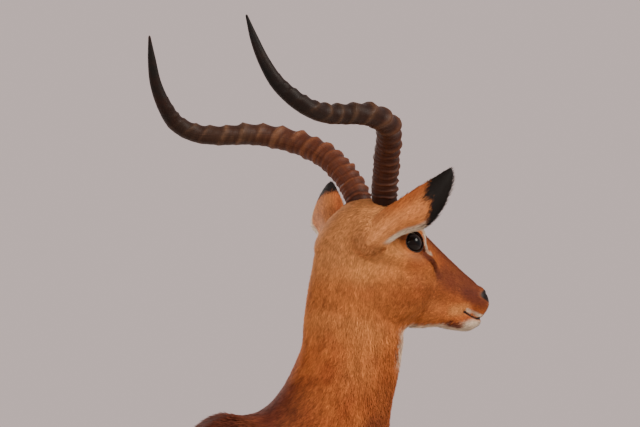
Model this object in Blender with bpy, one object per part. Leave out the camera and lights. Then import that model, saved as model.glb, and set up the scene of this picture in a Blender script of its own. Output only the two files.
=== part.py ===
"""Life-size adult male impala, standing square with its head raised and turned a little to its left.

Metres. +X runs forward along the trunk, +Y to the animal's left and +Z up. The floor is z = 0, and
the origin lies under the middle of the whole model's box.

The flesh is one smooth field: rounded forms, each given by a few stations, are blended into each
other, the surface is drawn off as one mesh and thinned, and thin cuts then part it into named
nodes. Horns, eyes and hooves are hard pieces of their own.
"""

import math

import bmesh
import bpy
import numpy as np
from mathutils import Matrix, Vector

# ---------------------------------------------------------------- driving dimensions

STERNUM_HEIGHT = 0.528
HEAD_YAW = math.radians(20)
HEAD_ROLL = math.radians(-4.9)
HEAD_PITCH = math.radians(30)
HEAD_ORIGIN = Vector((0.460, 0.030, 1.143))
BOX_CENTRE = Vector((0.0683, -0.0180, 0.0))
HOOF_TOP = 0.0355
FRONT_CORONET = (0.262, 0.078)
HIND_CORONET = (-0.364, 0.082)
GAP = 0.0004

# Corners of the two boxes of space in which the flesh is worked out, the second one finer.
BODY_BOX = ((-0.50, -0.20, 0.005), (0.54, 0.20, 1.12))
HEAD_BOX = ((0.28, -0.12, 0.96), (0.64, 0.18, 1.26))
BODY_VOXEL = 0.005
HEAD_VOXEL = 0.0026
BODY_TRIANGLES = 2750
HEAD_TRIANGLES = 1950
FAR = 0.06

HEAD_MATRIX = (
    Matrix.Translation(HEAD_ORIGIN) @ Matrix.Rotation(HEAD_YAW, 4, "Z")
    @ Matrix.Rotation(HEAD_ROLL, 4, "X")
)
SIDES = (("left", 1), ("right", -1))


# ---------------------------------------------------------------- the smooth field

def unit(v):
    v = np.asarray(v, float)
    return v / np.linalg.norm(v)


def smooth_curve(knots, values, at):
    """Values along a smooth line through (knot, value) pairs; the values may be points."""
    knots, values = np.asarray(knots, float), np.asarray(values, float)
    slopes = np.gradient(values, knots, axis=0)
    i = np.clip(np.searchsorted(knots, at, side="right") - 1, 0, len(knots) - 2)
    h = knots[i + 1] - knots[i]
    t = np.clip((at - knots[i]) / h, 0, 1)
    if values.ndim > 1:
        h, t = h[:, None], t[:, None]
    return (
        (2 * t**3 - 3 * t**2 + 1) * values[i]
        + (t**3 - 2 * t**2 + t) * h * slopes[i]
        + (3 * t**2 - 2 * t**3) * values[i + 1]
        + (t**3 - t**2) * h * slopes[i + 1]
    )


def signed(offset, share, floor=1e-4):
    """How far a point lies outside a form, from its offset and its share of the radius."""
    return offset * (1 - 1 / np.maximum(share, floor))


class Sweep:
    """A limb: stations (x, y, z, half width across, half depth) along a smooth line."""

    def __init__(
        self, stations, side=(0, 1, 0), side_end=None, cap=1.0, samples=40, matrix=None,
    ):
        rows = np.array(stations, float)
        reach = np.r_[0, np.cumsum(np.linalg.norm(np.diff(rows[:, :3], axis=0), axis=1))]
        along = np.linspace(0, reach[-1], samples)
        made = smooth_curve(reach, rows, along)
        centre, self.half = made[:, :3], made[:, 3:5]
        side = np.linspace(unit(side), unit(side if side_end is None else side_end), samples)
        tangent = np.gradient(centre, along, axis=0)
        if matrix is not None:
            turn, move = np.array(matrix.to_3x3()), np.array(matrix.translation)
            centre, tangent, side = centre @ turn.T + move, tangent @ turn.T, side @ turn.T
        tangent /= np.linalg.norm(tangent, axis=1)[:, None]
        side = side - tangent * (side * tangent).sum(1)[:, None]
        side /= np.linalg.norm(side, axis=1)[:, None]
        self.centre, self.tangent, self.side = centre, tangent, side
        self.deep = np.cross(tangent, side)
        self.step = along[1]
        self.cap = cap
        reach = self.half.max(axis=1)[:, None]
        self.low, self.high = (centre - reach).min(axis=0), (centre + reach).max(axis=0)

    def distance(self, points):
        found = np.empty(len(points), np.float32)
        for start in range(0, len(points), 200_000):
            p = points[start:start + 200_000]
            apart = (p**2).sum(1)[:, None] - 2 * p @ self.centre.T + (self.centre**2).sum(1)
            near = apart.argmin(axis=1)
            along = ((p - self.centre[near]) * self.tangent[near]).sum(1) / self.step
            place = np.clip(near + along, 0, len(self.centre) - 1)
            low = np.minimum(place.astype(int), len(self.centre) - 2)
            share = (place - low)[:, None]

            def mixed(rows):
                return rows[low] * (1 - share) + rows[low + 1] * share

            away, half = p - mixed(self.centre), mixed(self.half)
            across = (away * mixed(self.side)).sum(1) / half[:, 0]
            deep = (away * mixed(self.deep)).sum(1) / half[:, 1]
            past = (away * mixed(self.tangent)).sum(1) / (self.cap * half.min(axis=1))
            found[start:start + 200_000] = signed(
                np.linalg.norm(away, axis=1), np.sqrt(across**2 + deep**2 + past**2)
            )
        return found


class Loft:
    """A trunk or head: stations (place on the axis, top, bottom, half width) across one straight axis."""

    def __init__(
        self, stations, origin=(0, 0, 0), axis=(1, 0, 0), up=(0, 0, 1), cap=0.03, egg=0.0,
        power=2.0, matrix=None,
    ):
        rows = np.array(stations, float)
        rows = rows[rows[:, 0].argsort()]
        self.at = np.linspace(rows[0, 0], rows[-1, 0], 240)
        self.rows = smooth_curve(rows[:, 0], rows[:, 1:], self.at)
        self.origin, self.axis, self.up = np.array(origin, float), unit(axis), unit(up)
        if matrix is not None:
            turn = np.array(matrix.to_3x3())
            self.origin = turn @ self.origin + np.array(matrix.translation)
            self.axis, self.up = turn @ self.axis, turn @ self.up
        self.across = np.cross(self.up, self.axis)
        self.cap, self.egg, self.power = cap, egg, power
        corners = np.array([
            self.origin + self.axis * self.at[e] + self.up * v + self.across * w
            for e in (0, -1)
            for v in (self.rows[:, 0].max(), self.rows[:, 1].min())
            for w in (self.rows[:, 2].max(), -self.rows[:, 2].max())
        ])
        self.low, self.high = corners.min(axis=0) - cap, corners.max(axis=0) + cap

    def distance(self, points):
        away = points - self.origin
        along = away @ self.axis
        held = np.clip(along, self.at[0], self.at[-1])
        top, bottom, half = (np.interp(held, self.at, self.rows[:, i]) for i in range(3))
        tall = (top - bottom) / 2
        height = away @ self.up - (top + bottom) / 2
        across = away @ self.across
        rise = np.clip(height / tall, -1, 1)
        wide = half * (1 - self.egg * rise)
        past = (along - held) / self.cap
        ring = np.abs(across / wide) ** self.power + np.abs(height / tall) ** self.power
        ring = ring ** (2 / self.power)
        return signed(np.sqrt(across**2 + height**2 + (along - held) ** 2), np.sqrt(ring + past**2))


class Ball:
    """An egg of muscle or bone: centre, three radii, and the ways its first two radii point."""

    def __init__(self, centre, radii, along=(1, 0, 0), side=(0, 1, 0), matrix=None):
        first = unit(along)
        second = unit(np.asarray(side, float) - first * np.dot(first, side))
        axes = np.array([first, second, np.cross(first, second)])
        self.centre, self.radii = np.array(centre, float), np.array(radii, float)
        if matrix is not None:
            turn = np.array(matrix.to_3x3())
            self.centre = turn @ self.centre + np.array(matrix.translation)
            axes = axes @ turn.T
        self.axes = axes
        self.low, self.high = self.centre - self.radii.max(), self.centre + self.radii.max()

    def distance(self, points):
        away = points - self.centre
        return signed(np.linalg.norm(away, axis=1), np.linalg.norm(away @ self.axes.T / self.radii, axis=1))


class Field:
    """A box of space sampled on a grid, into which forms are blended one after another."""

    def __init__(self, low, high, voxel):
        self.axes = [np.arange(a, b, voxel) for a, b in zip(low, high)]
        self.value = np.full([len(a) for a in self.axes], FAR, np.float32)

    def window(self, form, margin):
        cuts = []
        for axis, low, high in zip(self.axes, form.low - margin, form.high + margin):
            cuts.append(slice(*np.searchsorted(axis, (low, high))))
        return tuple(cuts)

    def blend(self, form, radius, adds):
        window = self.window(form, radius + 0.004)
        old = self.value[window]
        if old.size == 0:
            return
        mesh = np.meshgrid(*(a[w] for a, w in zip(self.axes, window)), indexing="ij")
        new = form.distance(np.stack([m.ravel() for m in mesh], axis=1)).reshape(old.shape)
        self.value[window] = smooth_min(old, new, radius) if adds else -smooth_min(-old, new, radius)


def smooth_min(a, b, radius):
    share = np.clip(0.5 + 0.5 * (b - a) / radius, 0, 1)
    return b * (1 - share) + a * share - radius * share * (1 - share)


def surface(field, level=0.0):
    """(points, quads) of the surface where the field reaches level, closed at the ends of the box.

    Each cell that the surface crosses gets one point.
    """
    value = np.pad(field.value - level, 1, constant_values=FAR)
    axes = [np.r_[2 * a[0] - a[1], a, 2 * a[-1] - a[-2]] for a in field.axes]
    inside = value < 0
    shape = np.array(value.shape) - 1
    corners = [(i, j, k) for i in (0, 1) for j in (0, 1) for k in (0, 1)]
    count = sum(
        inside[i:shape[0] + i, j:shape[1] + j, k:shape[2] + k].astype(np.int8) for i, j, k in corners
    )
    cells = np.argwhere((count > 0) & (count < 8))
    index = np.full(shape, -1, np.int64)
    index[tuple(cells.T)] = np.arange(len(cells))
    corner_values = np.stack([value[tuple((cells + c).T)] for c in corners], axis=1)
    total, crossings = np.zeros((len(cells), 3)), np.zeros(len(cells))
    for a, first in enumerate(corners):
        for b, second in enumerate(corners):
            if b <= a or sum(abs(x - y) for x, y in zip(first, second)) != 1:
                continue
            low, high = corner_values[:, a], corner_values[:, b]
            crossed = (low < 0) != (high < 0)
            share = np.where(crossed, low / np.where(crossed, low - high, 1), 0)[:, None]
            total += (np.array(first) * (1 - share) + np.array(second) * share) * crossed[:, None]
            crossings += crossed
    local = cells + total / crossings[:, None]
    points = np.stack([np.interp(local[:, i], np.arange(len(a)), a) for i, a in enumerate(axes)], axis=1)
    quads = []
    for axis in range(3):
        cut = [slice(1, -1)] * 3
        ahead = list(cut)
        cut[axis], ahead[axis] = slice(0, -1), slice(1, None)
        low, high = inside[tuple(cut)], inside[tuple(ahead)]
        u, v = (axis + 1) % 3, (axis + 2) % 3
        for first, flip in ((low & ~high, False), (~low & high, True)):
            at = np.argwhere(first) + 1
            at[:, axis] -= 1
            ring = []
            for du, dv in ((-1, -1), (0, -1), (0, 0), (-1, 0)):
                cell = at.copy()
                cell[:, u] += du
                cell[:, v] += dv
                ring.append(index[tuple(cell.T)])
            ring = np.stack(ring, axis=1)
            quads.append(ring[:, ::-1] if flip else ring)
    return points, np.concatenate(quads)


# ---------------------------------------------------------------- the animal's forms

HEAD_AXIS = (math.cos(HEAD_PITCH), 0, -math.sin(HEAD_PITCH))
HEAD_UP = (math.sin(HEAD_PITCH), 0, math.cos(HEAD_PITCH))
EYE_RADIUS = 0.0172
EYE_CENTRE = (0.0045, 0.0385, 0.0010)
EYE_OUT = (0.13, 0.98, 0.10)
EAR_SHARES = (0.0, 0.12, 0.30, 0.48, 0.66, 0.82, 0.93, 0.985, 1.0)
EAR_WIDTHS = (0.78, 0.78, 0.84, 1.00, 0.87, 0.60, 0.36, 0.17, 0.06)
# How far the middle of the ear lies towards its rounder, lower edge, as a share of the width.
EAR_SAGS = (0, 0, 0.10, 0.42, 0.43, 0.34, 0.20, 0.08, 0)
EAR_HOLLOWS = (1.15, 1.15, 1.0, 0.75, 0.50, 0.30, 0.15, 0.06, 0.02)
EAR_HALF_THICKNESS = 0.0042
EARS = {
    "right": dict(
        base=(-0.078, -0.054, 0.001), along=(0.120, -0.052, 0.107), back=(-0.20, -0.90, 0.10),
        length=0.169, width=0.029, hollow=0.020, sag=1,
    ),
    "left": dict(
        base=(-0.078, 0.050, 0.004), along=(0.066, 0.108, 0.106), back=(-0.65, -0.36, 0.48),
        length=0.167, width=0.029, hollow=0.018, sag=-0.6,
    ),
}


def trunk_forms():
    """(form, blend radius, adds) for the barrel, its spine, shoulders and haunches."""
    yield Loft(
        [
            (0.385, 0.770, 0.640, 0.045), (0.350, 0.830, 0.585, 0.082), (0.290, 0.868, 0.548, 0.100),
            (0.200, 0.882, STERNUM_HEIGHT, 0.116), (0.100, 0.862, 0.531, 0.130),
            (-0.020, 0.858, 0.546, 0.138), (-0.140, 0.862, 0.572, 0.136),
            (-0.240, 0.876, 0.602, 0.122), (-0.330, 0.884, 0.640, 0.104), (-0.385, 0.862, 0.690, 0.080),
        ],
        cap=0.035, egg=0.18, power=2.15,
    ), 0.01, True
    for _, s in SIDES:
        # Shoulder blade, from the withers down to the point of the shoulder, and the muscle behind it.
        yield Sweep(
            [(0.195, 0.028 * s, 0.880, 0.016, 0.030), (0.225, 0.066 * s, 0.820, 0.030, 0.056),
             (0.262, 0.092 * s, 0.740, 0.034, 0.066), (0.300, 0.096 * s, 0.672, 0.034, 0.050)],
        ), 0.030, True
        yield Ball((0.235, 0.088 * s, 0.640), (0.078, 0.040, 0.066), (0.8, 0, -0.6)), 0.035, True
        # Croup and thigh.
        yield Ball((-0.300, 0.062 * s, 0.800), (0.110, 0.058, 0.085), (1, 0, -0.15)), 0.040, True
        yield Ball((-0.318, 0.086 * s, 0.690), (0.098, 0.050, 0.135), (1, 0, 0.25)), 0.040, True
        yield Ball((-0.385, 0.058 * s, 0.735), (0.045, 0.046, 0.090), (1, 0, 0.1)), 0.030, True
        # Hip bone, and the fold of skin from flank to stifle.
        yield Ball((-0.245, 0.074 * s, 0.838), (0.034, 0.022, 0.018), (1, 0, 0.3)), 0.035, True
        yield Sweep(
            [(-0.170, 0.105 * s, 0.640, 0.020, 0.030), (-0.215, 0.108 * s, 0.610, 0.022, 0.040),
             (-0.245, 0.104 * s, 0.585, 0.022, 0.040)],
        ), 0.040, True
    # Withers and the ridge of the spine.
    yield Sweep(
        [(0.230, 0, 0.866, 0.022, 0.020), (0.198, 0, 0.877, 0.024, 0.021), (0.165, 0, 0.861, 0.022, 0.018)],
    ), 0.022, True
    # Brisket, and the sheath under the belly.
    yield Sweep(
        [(0.350, 0, 0.640, 0.034, 0.040), (0.290, 0, 0.575, 0.040, 0.030), (0.200, 0, 0.548, 0.045, 0.026)],
    ), 0.035, True
    yield Sweep(
        [
            (-0.180, 0, 0.582, 0.018, 0.016), (-0.120, 0, 0.562, 0.014, 0.014),
            (-0.085, 0, 0.555, 0.010, 0.012),
        ],
    ), 0.018, True
    # The hollow of the flank, and the groove between the buttocks.
    for _, s in SIDES:
        yield Ball((-0.190, 0.175 * s, 0.740), (0.055, 0.040, 0.080)), 0.045, False
        yield Ball((0.130, 0.165 * s, 0.585), (0.030, 0.030, 0.060), (1, 0, 0.5)), 0.030, False


def neck_forms():
    turned = (-math.sin(HEAD_YAW), math.cos(HEAD_YAW), 0.0)
    yield Sweep(
        [
            (0.276, 0.000, 0.740, 0.086, 0.114), (0.323, 0.000, 0.812, 0.076, 0.115),
            (0.351, 0.000, 0.872, 0.067, 0.098), (0.370, 0.001, 0.930, 0.060, 0.080),
            (0.386, 0.003, 0.985, 0.056, 0.075), (0.392, 0.006, 1.040, 0.054, 0.076),
            (0.397, 0.009, 1.095, 0.053, 0.073), (0.395, 0.010, 1.140, 0.051, 0.063),
        ],
        side_end=turned, samples=60, cap=0.8,
    ), 0.050, True
    # Windpipe ridge down the front of the throat.
    yield Sweep(
        [(0.452, 0.020, 1.035, 0.020, 0.020), (0.445, 0.012, 0.985, 0.019, 0.019),
         (0.431, 0.006, 0.930, 0.020, 0.020), (0.415, 0.000, 0.870, 0.022, 0.022)],
    ), 0.030, True


def head_forms():
    m = HEAD_MATRIX
    yield Loft(
        [
            (-0.088, 0.018, -0.050, 0.040), (-0.070, 0.034, -0.060, 0.048), (-0.050, 0.044, -0.065, 0.050),
            (-0.023, 0.048, -0.065, 0.048), (0.008, 0.045, -0.063, 0.044), (0.042, 0.038, -0.056, 0.036),
            (0.080, 0.0305, -0.046, 0.0285), (0.116, 0.0240, -0.038, 0.0235), (0.145, 0.0190, -0.031, 0.0215),
            (0.158, 0.0145, -0.026, 0.0195), (0.1670, 0.0060, -0.022, 0.0150),
        ],
        axis=HEAD_AXIS, up=HEAD_UP, cap=0.006, egg=0.10, power=2.2, matrix=m,
    ), 0.02, True
    # Lower jaw, from the chin back to the angle below the ear.
    yield Sweep(
        [
            (0.1310, 0, -0.1125, 0.0120, 0.0080), (0.119, 0, -0.1155, 0.0165, 0.0110),
            (0.105, 0, -0.1120, 0.0195, 0.0140), (0.075, 0, -0.1015, 0.0225, 0.0190),
            (0.040, 0, -0.0925, 0.0300, 0.0290), (0.005, 0, -0.0800, 0.0390, 0.0400),
            (-0.030, 0, -0.0650, 0.0460, 0.0500),
        ],
        matrix=m,
    ), 0.022, True
    # Cheek, filling the space between the jaws behind the corner of the mouth.
    yield Sweep(
        [
            (0.098, 0, -0.0800, 0.0205, 0.0160), (0.060, 0, -0.0660, 0.0265, 0.0220),
            (0.020, 0, -0.0520, 0.0370, 0.0270),
        ],
        matrix=m,
    ), 0.022, True
    # Crown behind the horns, sloping into the nape.
    yield Ball((-0.062, 0, 0.027), (0.050, 0.046, 0.036), (1, 0, 0.35), matrix=m), 0.030, True
    # Upper lip pads and the bare nose.
    yield Ball((0.1360, 0, -0.0840), (0.0170, 0.0225, 0.0170), (0.8, 0, -0.6), matrix=m), 0.012, True
    for _, s in SIDES:
        yield Ball((-0.012, 0.034 * s, -0.060), (0.044, 0.017, 0.045), (0.9, 0, -0.45), matrix=m), 0.022, True
        yield Ball((0.1340, 0.0115 * s, -0.0735), (0.0120, 0.0090, 0.0110), matrix=m), 0.008, True
        # Orbit, brow and cheek bone.
        behind_eye = (EYE_CENTRE[0], (EYE_CENTRE[1] - 0.004) * s, EYE_CENTRE[2])
        yield Ball(behind_eye, (0.0195,) * 3, matrix=m), 0.014, True
        brow = (-0.004, 0.0385 * s, 0.0165)
        yield Ball(brow, (0.028, 0.012, 0.009), (1, 0.10 * s, 0), matrix=m), 0.018, True
        yield Sweep(
            [(0.038, 0.034 * s, -0.032, 0.008, 0.008), (0.005, 0.046 * s, -0.028, 0.007, 0.008),
             (-0.035, 0.049 * s, -0.014, 0.006, 0.008)],
            matrix=m,
        ), 0.020, True
        # Root of each horn under the skin, and of each ear.
        yield Ball((-0.033, 0.031 * s, 0.045), (0.025, 0.024, 0.021), matrix=m), 0.014, True
        yield Ball((-0.060, 0.046 * s, 0.012), (0.026, 0.017, 0.030), matrix=m), 0.018, True
        ear_root = (-0.075, 0.053 * s, 0.006)
        yield Ball(ear_root, (0.026, 0.019, 0.023), (0.7, 0.3 * s, 0.6), matrix=m), 0.011, True
    # The opening between the lids, down to the eyeball.
    for _, s in SIDES:
        out = unit((EYE_OUT[0], EYE_OUT[1] * s, EYE_OUT[2]))
        at = np.array((EYE_CENTRE[0], EYE_CENTRE[1] * s, EYE_CENTRE[2])) + out * 0.0190
        slit = np.cross(out, (0.35, 0, -1)) * s
        yield Ball(at, (0.0175, 0.0160, 0.0150), slit, out, matrix=m), 0.004, False


def front_leg_forms(s, forward):
    """One fore leg: upper arm, forearm, knee, cannon, fetlock and pastern. forward moves the foot along X."""
    y = 0.078 * s
    f = forward
    yield Sweep(
        [
            (0.300, 0.094 * s, 0.672, 0.030, 0.040), (0.250, 0.086 * s, 0.600, 0.034, 0.050),
            (0.222 + 0.05 * f, y, 0.530, 0.030, 0.041), (0.226 + 0.25 * f, y, 0.450, 0.0235, 0.0290),
            (0.231 + 0.45 * f, y, 0.370, 0.0175, 0.0195), (0.234 + 0.56 * f, y, 0.325, 0.0185, 0.0190),
            (0.235 + 0.62 * f, y, 0.300, 0.0185, 0.0200), (0.233 + 0.67 * f, y, 0.276, 0.0150, 0.0160),
            (0.233 + 0.78 * f, y, 0.220, 0.0122, 0.0135), (0.235 + 0.92 * f, y, 0.140, 0.0122, 0.0138),
            (0.237 + 0.98 * f, y, 0.102, 0.0155, 0.0165), (0.240 + f, y, 0.084, 0.0165, 0.0180),
            (0.250 + f, y, 0.058, 0.0140, 0.0150), (0.262 + f, y, 0.034, 0.0170, 0.0190),
        ],
        samples=90,
    ), 0.014, True
    # Point of the elbow, and the knob behind the knee.
    yield Ball((0.186, 0.074 * s, 0.548), (0.022, 0.016, 0.026)), 0.022, True
    yield Ball((0.222 + 0.62 * f, y, 0.306), (0.011, 0.010, 0.015)), 0.010, True
    yield Ball((0.226 + f, y, 0.082), (0.010, 0.012, 0.011)), 0.008, True


def hind_leg_forms(s, forward):
    """One hind leg: thigh, gaskin, hock, cannon, fetlock and pastern."""
    y = 0.082 * s
    f = forward
    yield Sweep(
        [
            (-0.300, 0.082 * s, 0.690, 0.046, 0.092), (-0.276, 0.092 * s, 0.612, 0.043, 0.078),
            (-0.288 + 0.15 * f, 0.089 * s, 0.545, 0.037, 0.059),
            (-0.322 + 0.30 * f, 0.085 * s, 0.475, 0.027, 0.040),
            (-0.362 + 0.45 * f, y, 0.415, 0.0185, 0.0255), (-0.386 + 0.55 * f, y, 0.372, 0.0185, 0.0240),
            (-0.392 + 0.60 * f, y, 0.335, 0.0170, 0.0200), (-0.392 + 0.68 * f, y, 0.280, 0.0135, 0.0155),
            (-0.391 + 0.82 * f, y, 0.190, 0.0125, 0.0145), (-0.389 + 0.94 * f, y, 0.120, 0.0138, 0.0158),
            (-0.387 + f, y, 0.090, 0.0165, 0.0180), (-0.377 + f, y, 0.060, 0.0140, 0.0150),
            (-0.364 + f, y, 0.034, 0.0165, 0.0185),
        ],
        samples=90,
    ), 0.016, True
    # Point of the hock with the tendon above it, and the glands behind the cannon.
    yield Sweep(
        [(-0.345 + 0.30 * f, y, 0.500, 0.010, 0.010), (-0.385 + 0.42 * f, y, 0.440, 0.008, 0.010),
         (-0.412 + 0.50 * f, y, 0.398, 0.011, 0.012), (-0.408 + 0.56 * f, y, 0.360, 0.010, 0.010)],
    ), 0.014, True
    yield Ball((-0.403 + 0.93 * f, y, 0.118), (0.010, 0.010, 0.020)), 0.010, True
    yield Ball((-0.401 + f, y, 0.090), (0.010, 0.012, 0.011)), 0.008, True


LEG_REACH = {
    ("front", "left"): 0.030, ("front", "right"): -0.012, ("hind", "left"): -0.030, ("hind", "right"): 0.022,
}


def tail_forms():
    yield Sweep(
        [(-0.395, 0, 0.856, 0.026, 0.024), (-0.430, 0, 0.834, 0.021, 0.017), (-0.452, 0, 0.785, 0.017, 0.013),
         (-0.459, 0, 0.715, 0.018, 0.012), (-0.460, 0, 0.650, 0.021, 0.012), (-0.459, 0, 0.590, 0.015, 0.010),
         (-0.458, 0, 0.550, 0.005, 0.005)],
        samples=60,
    ), 0.012, True


def all_forms():
    yield from trunk_forms()
    yield from neck_forms()
    for name, s in SIDES:
        yield from front_leg_forms(s, LEG_REACH["front", name])
        yield from hind_leg_forms(s, LEG_REACH["hind", name])
    yield from tail_forms()
    yield from head_forms()


def filled(forms, low, high, voxel):
    field = Field(low, high, voxel)
    for form, radius, adds in forms:
        field.blend(form, radius, adds)
    return field


# ---------------------------------------------------------------- horns, eyes, hooves

# (forward, out, up, half thickness), from the root hidden in the crown to the tip: a lyre that rises,
# sweeps back and out level, then turns up again.
HORN_STATIONS = (
    (-0.0270, 0.0310, 0.0400, 0.0200), (-0.0355, 0.0365, 0.0690, 0.0196),
    (-0.0415, 0.0530, 0.1010, 0.0186), (-0.0520, 0.0765, 0.1290, 0.0179),
    (-0.0640, 0.1050, 0.1500, 0.0174), (-0.0830, 0.1335, 0.1655, 0.0168),
    (-0.1100, 0.1510, 0.1750, 0.0164), (-0.1400, 0.1580, 0.1790, 0.0158),
    (-0.1700, 0.1600, 0.1785, 0.0151), (-0.1980, 0.1660, 0.1780, 0.0144),
    (-0.2290, 0.1760, 0.1825, 0.0138), (-0.2590, 0.1780, 0.1970, 0.0130),
    (-0.2830, 0.1690, 0.2220, 0.0113), (-0.3000, 0.1620, 0.2540, 0.0091),
    (-0.3100, 0.1530, 0.2890, 0.0063), (-0.3165, 0.1455, 0.3220, 0.0018),
)
HORN_FRONT = (0.75, 0.25, 0.60)
# Steps from ring to ring up the front of the horn and up its back, where they crowd closer.
FRONT_STEPS = (
    0.0120, 0.0120, 0.0125, 0.0130, 0.0145, 0.0175, 0.0215, 0.0255, 0.0285, 0.0290, 0.0280, 0.0270,
    0.0270, 0.0260, 0.0220, 0.0180, 0.0150,
)
BACK_STEPS = (
    0.0110, 0.0110, 0.0110, 0.0110, 0.0120, 0.0130, 0.0140, 0.0150, 0.0160, 0.0165, 0.0165, 0.0170,
    0.0170, 0.0170, 0.0170, 0.0170, 0.0170,
)
FIRST_RING = 0.046
RING_VALLEY = 0.38
RING_HEIGHT = 0.25
# How tall the rings are along the horn, as a share of the tallest.
RING_PLACES, RING_SHARES = (0, 0.06, 0.20, 0.40, 0.62, 0.68, 1), (0.5, 0.65, 0.85, 1.0, 0.40, 0, 0)


def ring_places(frontness):
    """Where each ring lies along the horn, in metres; frontness is 1 up its front, 0 up its back."""
    front, back = (FIRST_RING + np.r_[0, np.cumsum(steps)] for steps in (FRONT_STEPS, BACK_STEPS))
    return back + (front - back) * frontness


def horn_line(s):
    """(length, a function from places to (centre, half thickness)) of one horn's middle line."""
    rows = np.array(HORN_STATIONS) * (1, s, 1, 1)
    reach = np.r_[0, np.cumsum(np.linalg.norm(np.diff(rows[:, :3], axis=0), axis=1))]

    def at(places):
        made = smooth_curve(reach, rows, places)
        return made[:, :3], made[:, 3]

    return reach[-1], at


def horn_mesh(s, sides=9, plain_rings=8):
    """(points, faces) of one horn. s is 1 for the left and -1 for the right."""
    length, at = horn_line(s)
    turns = np.linspace(0, 2 * math.pi, sides, endpoint=False)
    frontness = 0.5 + 0.5 * np.cos(turns)
    rows = []
    for turn, share in zip(turns, frontness):
        crests = ring_places(share)
        valleys = crests[:-1] + np.diff(crests) * RING_VALLEY
        first = 2 * crests[0] - valleys[0]
        last = 2 * crests[-1] - valleys[-1]
        places = np.r_[0, first, crests, valleys, last, np.linspace(last, length, plain_rings + 1)[1:]]
        lifts = np.r_[0, 0, np.ones(len(crests)), np.zeros(len(valleys) + 1 + plain_rings)]
        order = places.argsort()
        places, lifts = places[order], lifts[order]
        lifts *= RING_HEIGHT * np.interp(places / length, RING_PLACES, RING_SHARES)
        centre, half = at(places)
        tangent = at(places + 0.002)[0] - at(places - 0.002)[0]
        tangent /= np.linalg.norm(tangent, axis=1)[:, None]
        front = np.array(HORN_FRONT) * (1, s, 1)
        out = front - tangent * (tangent @ front)[:, None]
        out /= np.linalg.norm(out, axis=1)[:, None]
        across = np.cross(tangent, out)
        # The rings stand proud on the front and are low on the back.
        wide = half * 0.94 * (1 + lifts * (0.30 + 0.70 * share**0.7))
        rows.append(centre + (out * math.cos(turn) + across * math.sin(turn)) * wide[:, None])
    points = np.stack(rows, axis=1)
    rings = len(points)
    centre, half = at(np.array((length,)))
    points = np.r_[points.reshape(-1, 3), centre + tangent[-1] * half[:, None]]
    faces = [
        (i * sides + j, i * sides + (j + 1) % sides, (i + 1) * sides + (j + 1) % sides, (i + 1) * sides + j)
        for i in range(rings - 1) for j in range(sides)
    ]
    last = (rings - 1) * sides
    faces += [(last + j, last + (j + 1) % sides, rings * sides) for j in range(sides)]
    faces.append(tuple(reversed(range(sides))))
    return [tuple(HEAD_MATRIX @ Vector(p)) for p in points], faces


def ear_mesh(base, along, back, length, width, hollow, sag, columns=11):
    """(points, faces) of one ear: a leaf rolled round its own length, its hollow side away from back."""
    along = unit(along)
    back = unit(np.array(back) - along * np.dot(along, back))
    across = np.cross(along, back)
    ratios = np.sin(np.linspace(-math.pi / 2, math.pi / 2, columns))
    rows = []
    for share, wide, deep, low in zip(EAR_SHARES, EAR_WIDTHS, EAR_HOLLOWS, EAR_SAGS):
        half, depth = width * wide, hollow * deep
        thick = EAR_HALF_THICKNESS * (1.25 - 0.5 * share) * min(1, 2 * wide)
        thick = thick * np.sqrt(np.cos(ratios * math.pi / 2))
        line = np.array(base) + along * share * length + np.outer(ratios * half + low * sag * width, across)
        sheet = depth * (0.65 - ratios**2)
        outer, inner = (line + np.outer(sheet + side * thick, back) for side in (1, -1))
        rows.append(np.concatenate([outer, inner[-2:0:-1]]))
    n = len(rows[0])
    points = np.concatenate(rows)
    faces = [
        (i * n + j, i * n + (j + 1) % n, (i + 1) * n + (j + 1) % n, (i + 1) * n + j)
        for i in range(len(rows) - 1) for j in range(n)
    ]
    faces += [tuple(reversed(range(n))), tuple(range(len(points) - n, len(points)))]
    return [tuple(HEAD_MATRIX @ Vector(p)) for p in points], faces


def claw_mesh(coronet, s):
    """(points, faces) of one claw of a hoof under the coronet; s is 1 for the left claw, -1 for the right."""
    x0, y0, _ = coronet
    # (height, heel, toe, outer width, inner gap), from the sole to the coronet.
    levels = (
        (0.0000, -0.0240, 0.0400, 0.0165, 0.0022), (0.0050, -0.0235, 0.0375, 0.0170, 0.0018),
        (0.0200, -0.0215, 0.0275, 0.0178, 0.0010), (HOOF_TOP, -0.0190, 0.0180, 0.0168, 0.0008),
    )
    steps = np.linspace(0, 1, 7)
    points = []
    for z, heel, toe, wide, gap in levels:
        bulge = np.array((0.30, 0.80, 1.0, 0.98, 0.80, 0.48, 0.10))
        for share, b in zip(steps, bulge):
            points.append((x0 + heel + (toe - heel) * share, y0 + s * (gap + (wide - gap) * b), z))
        for share in (0.94, 0.5, 0.05):
            points.append((x0 + heel + (toe - heel) * share, y0 + s * gap, z))
    n = len(steps) + 3
    faces = [
        (i * n + j, i * n + (j + 1) % n, (i + 1) * n + (j + 1) % n, (i + 1) * n + j)
        for i in range(len(levels) - 1) for j in range(n)
    ]
    faces += [tuple(reversed(range(n))), tuple(range(3 * n, 4 * n))]
    if s > 0:
        faces = [f[::-1] for f in faces]
    return points, faces


# ---------------------------------------------------------------- parting the flesh into nodes

def link(name, mesh):
    obj = bpy.data.objects.new(name, mesh)
    bpy.context.scene.collection.objects.link(obj)
    return obj


def solid(name, points, faces):
    mesh = bpy.data.meshes.new(name)
    mesh.from_pydata([tuple(map(float, p)) for p in points], [], [tuple(map(int, f)) for f in faces])
    mesh.update()
    return link(name, mesh)


def baked(obj, name):
    """A plain mesh of obj with its modifiers worked out; obj itself is removed."""
    graph = bpy.context.evaluated_depsgraph_get()
    mesh = bpy.data.meshes.new_from_object(obj.evaluated_get(graph))
    mesh.name = name
    bpy.data.objects.remove(obj)
    return mesh


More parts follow.
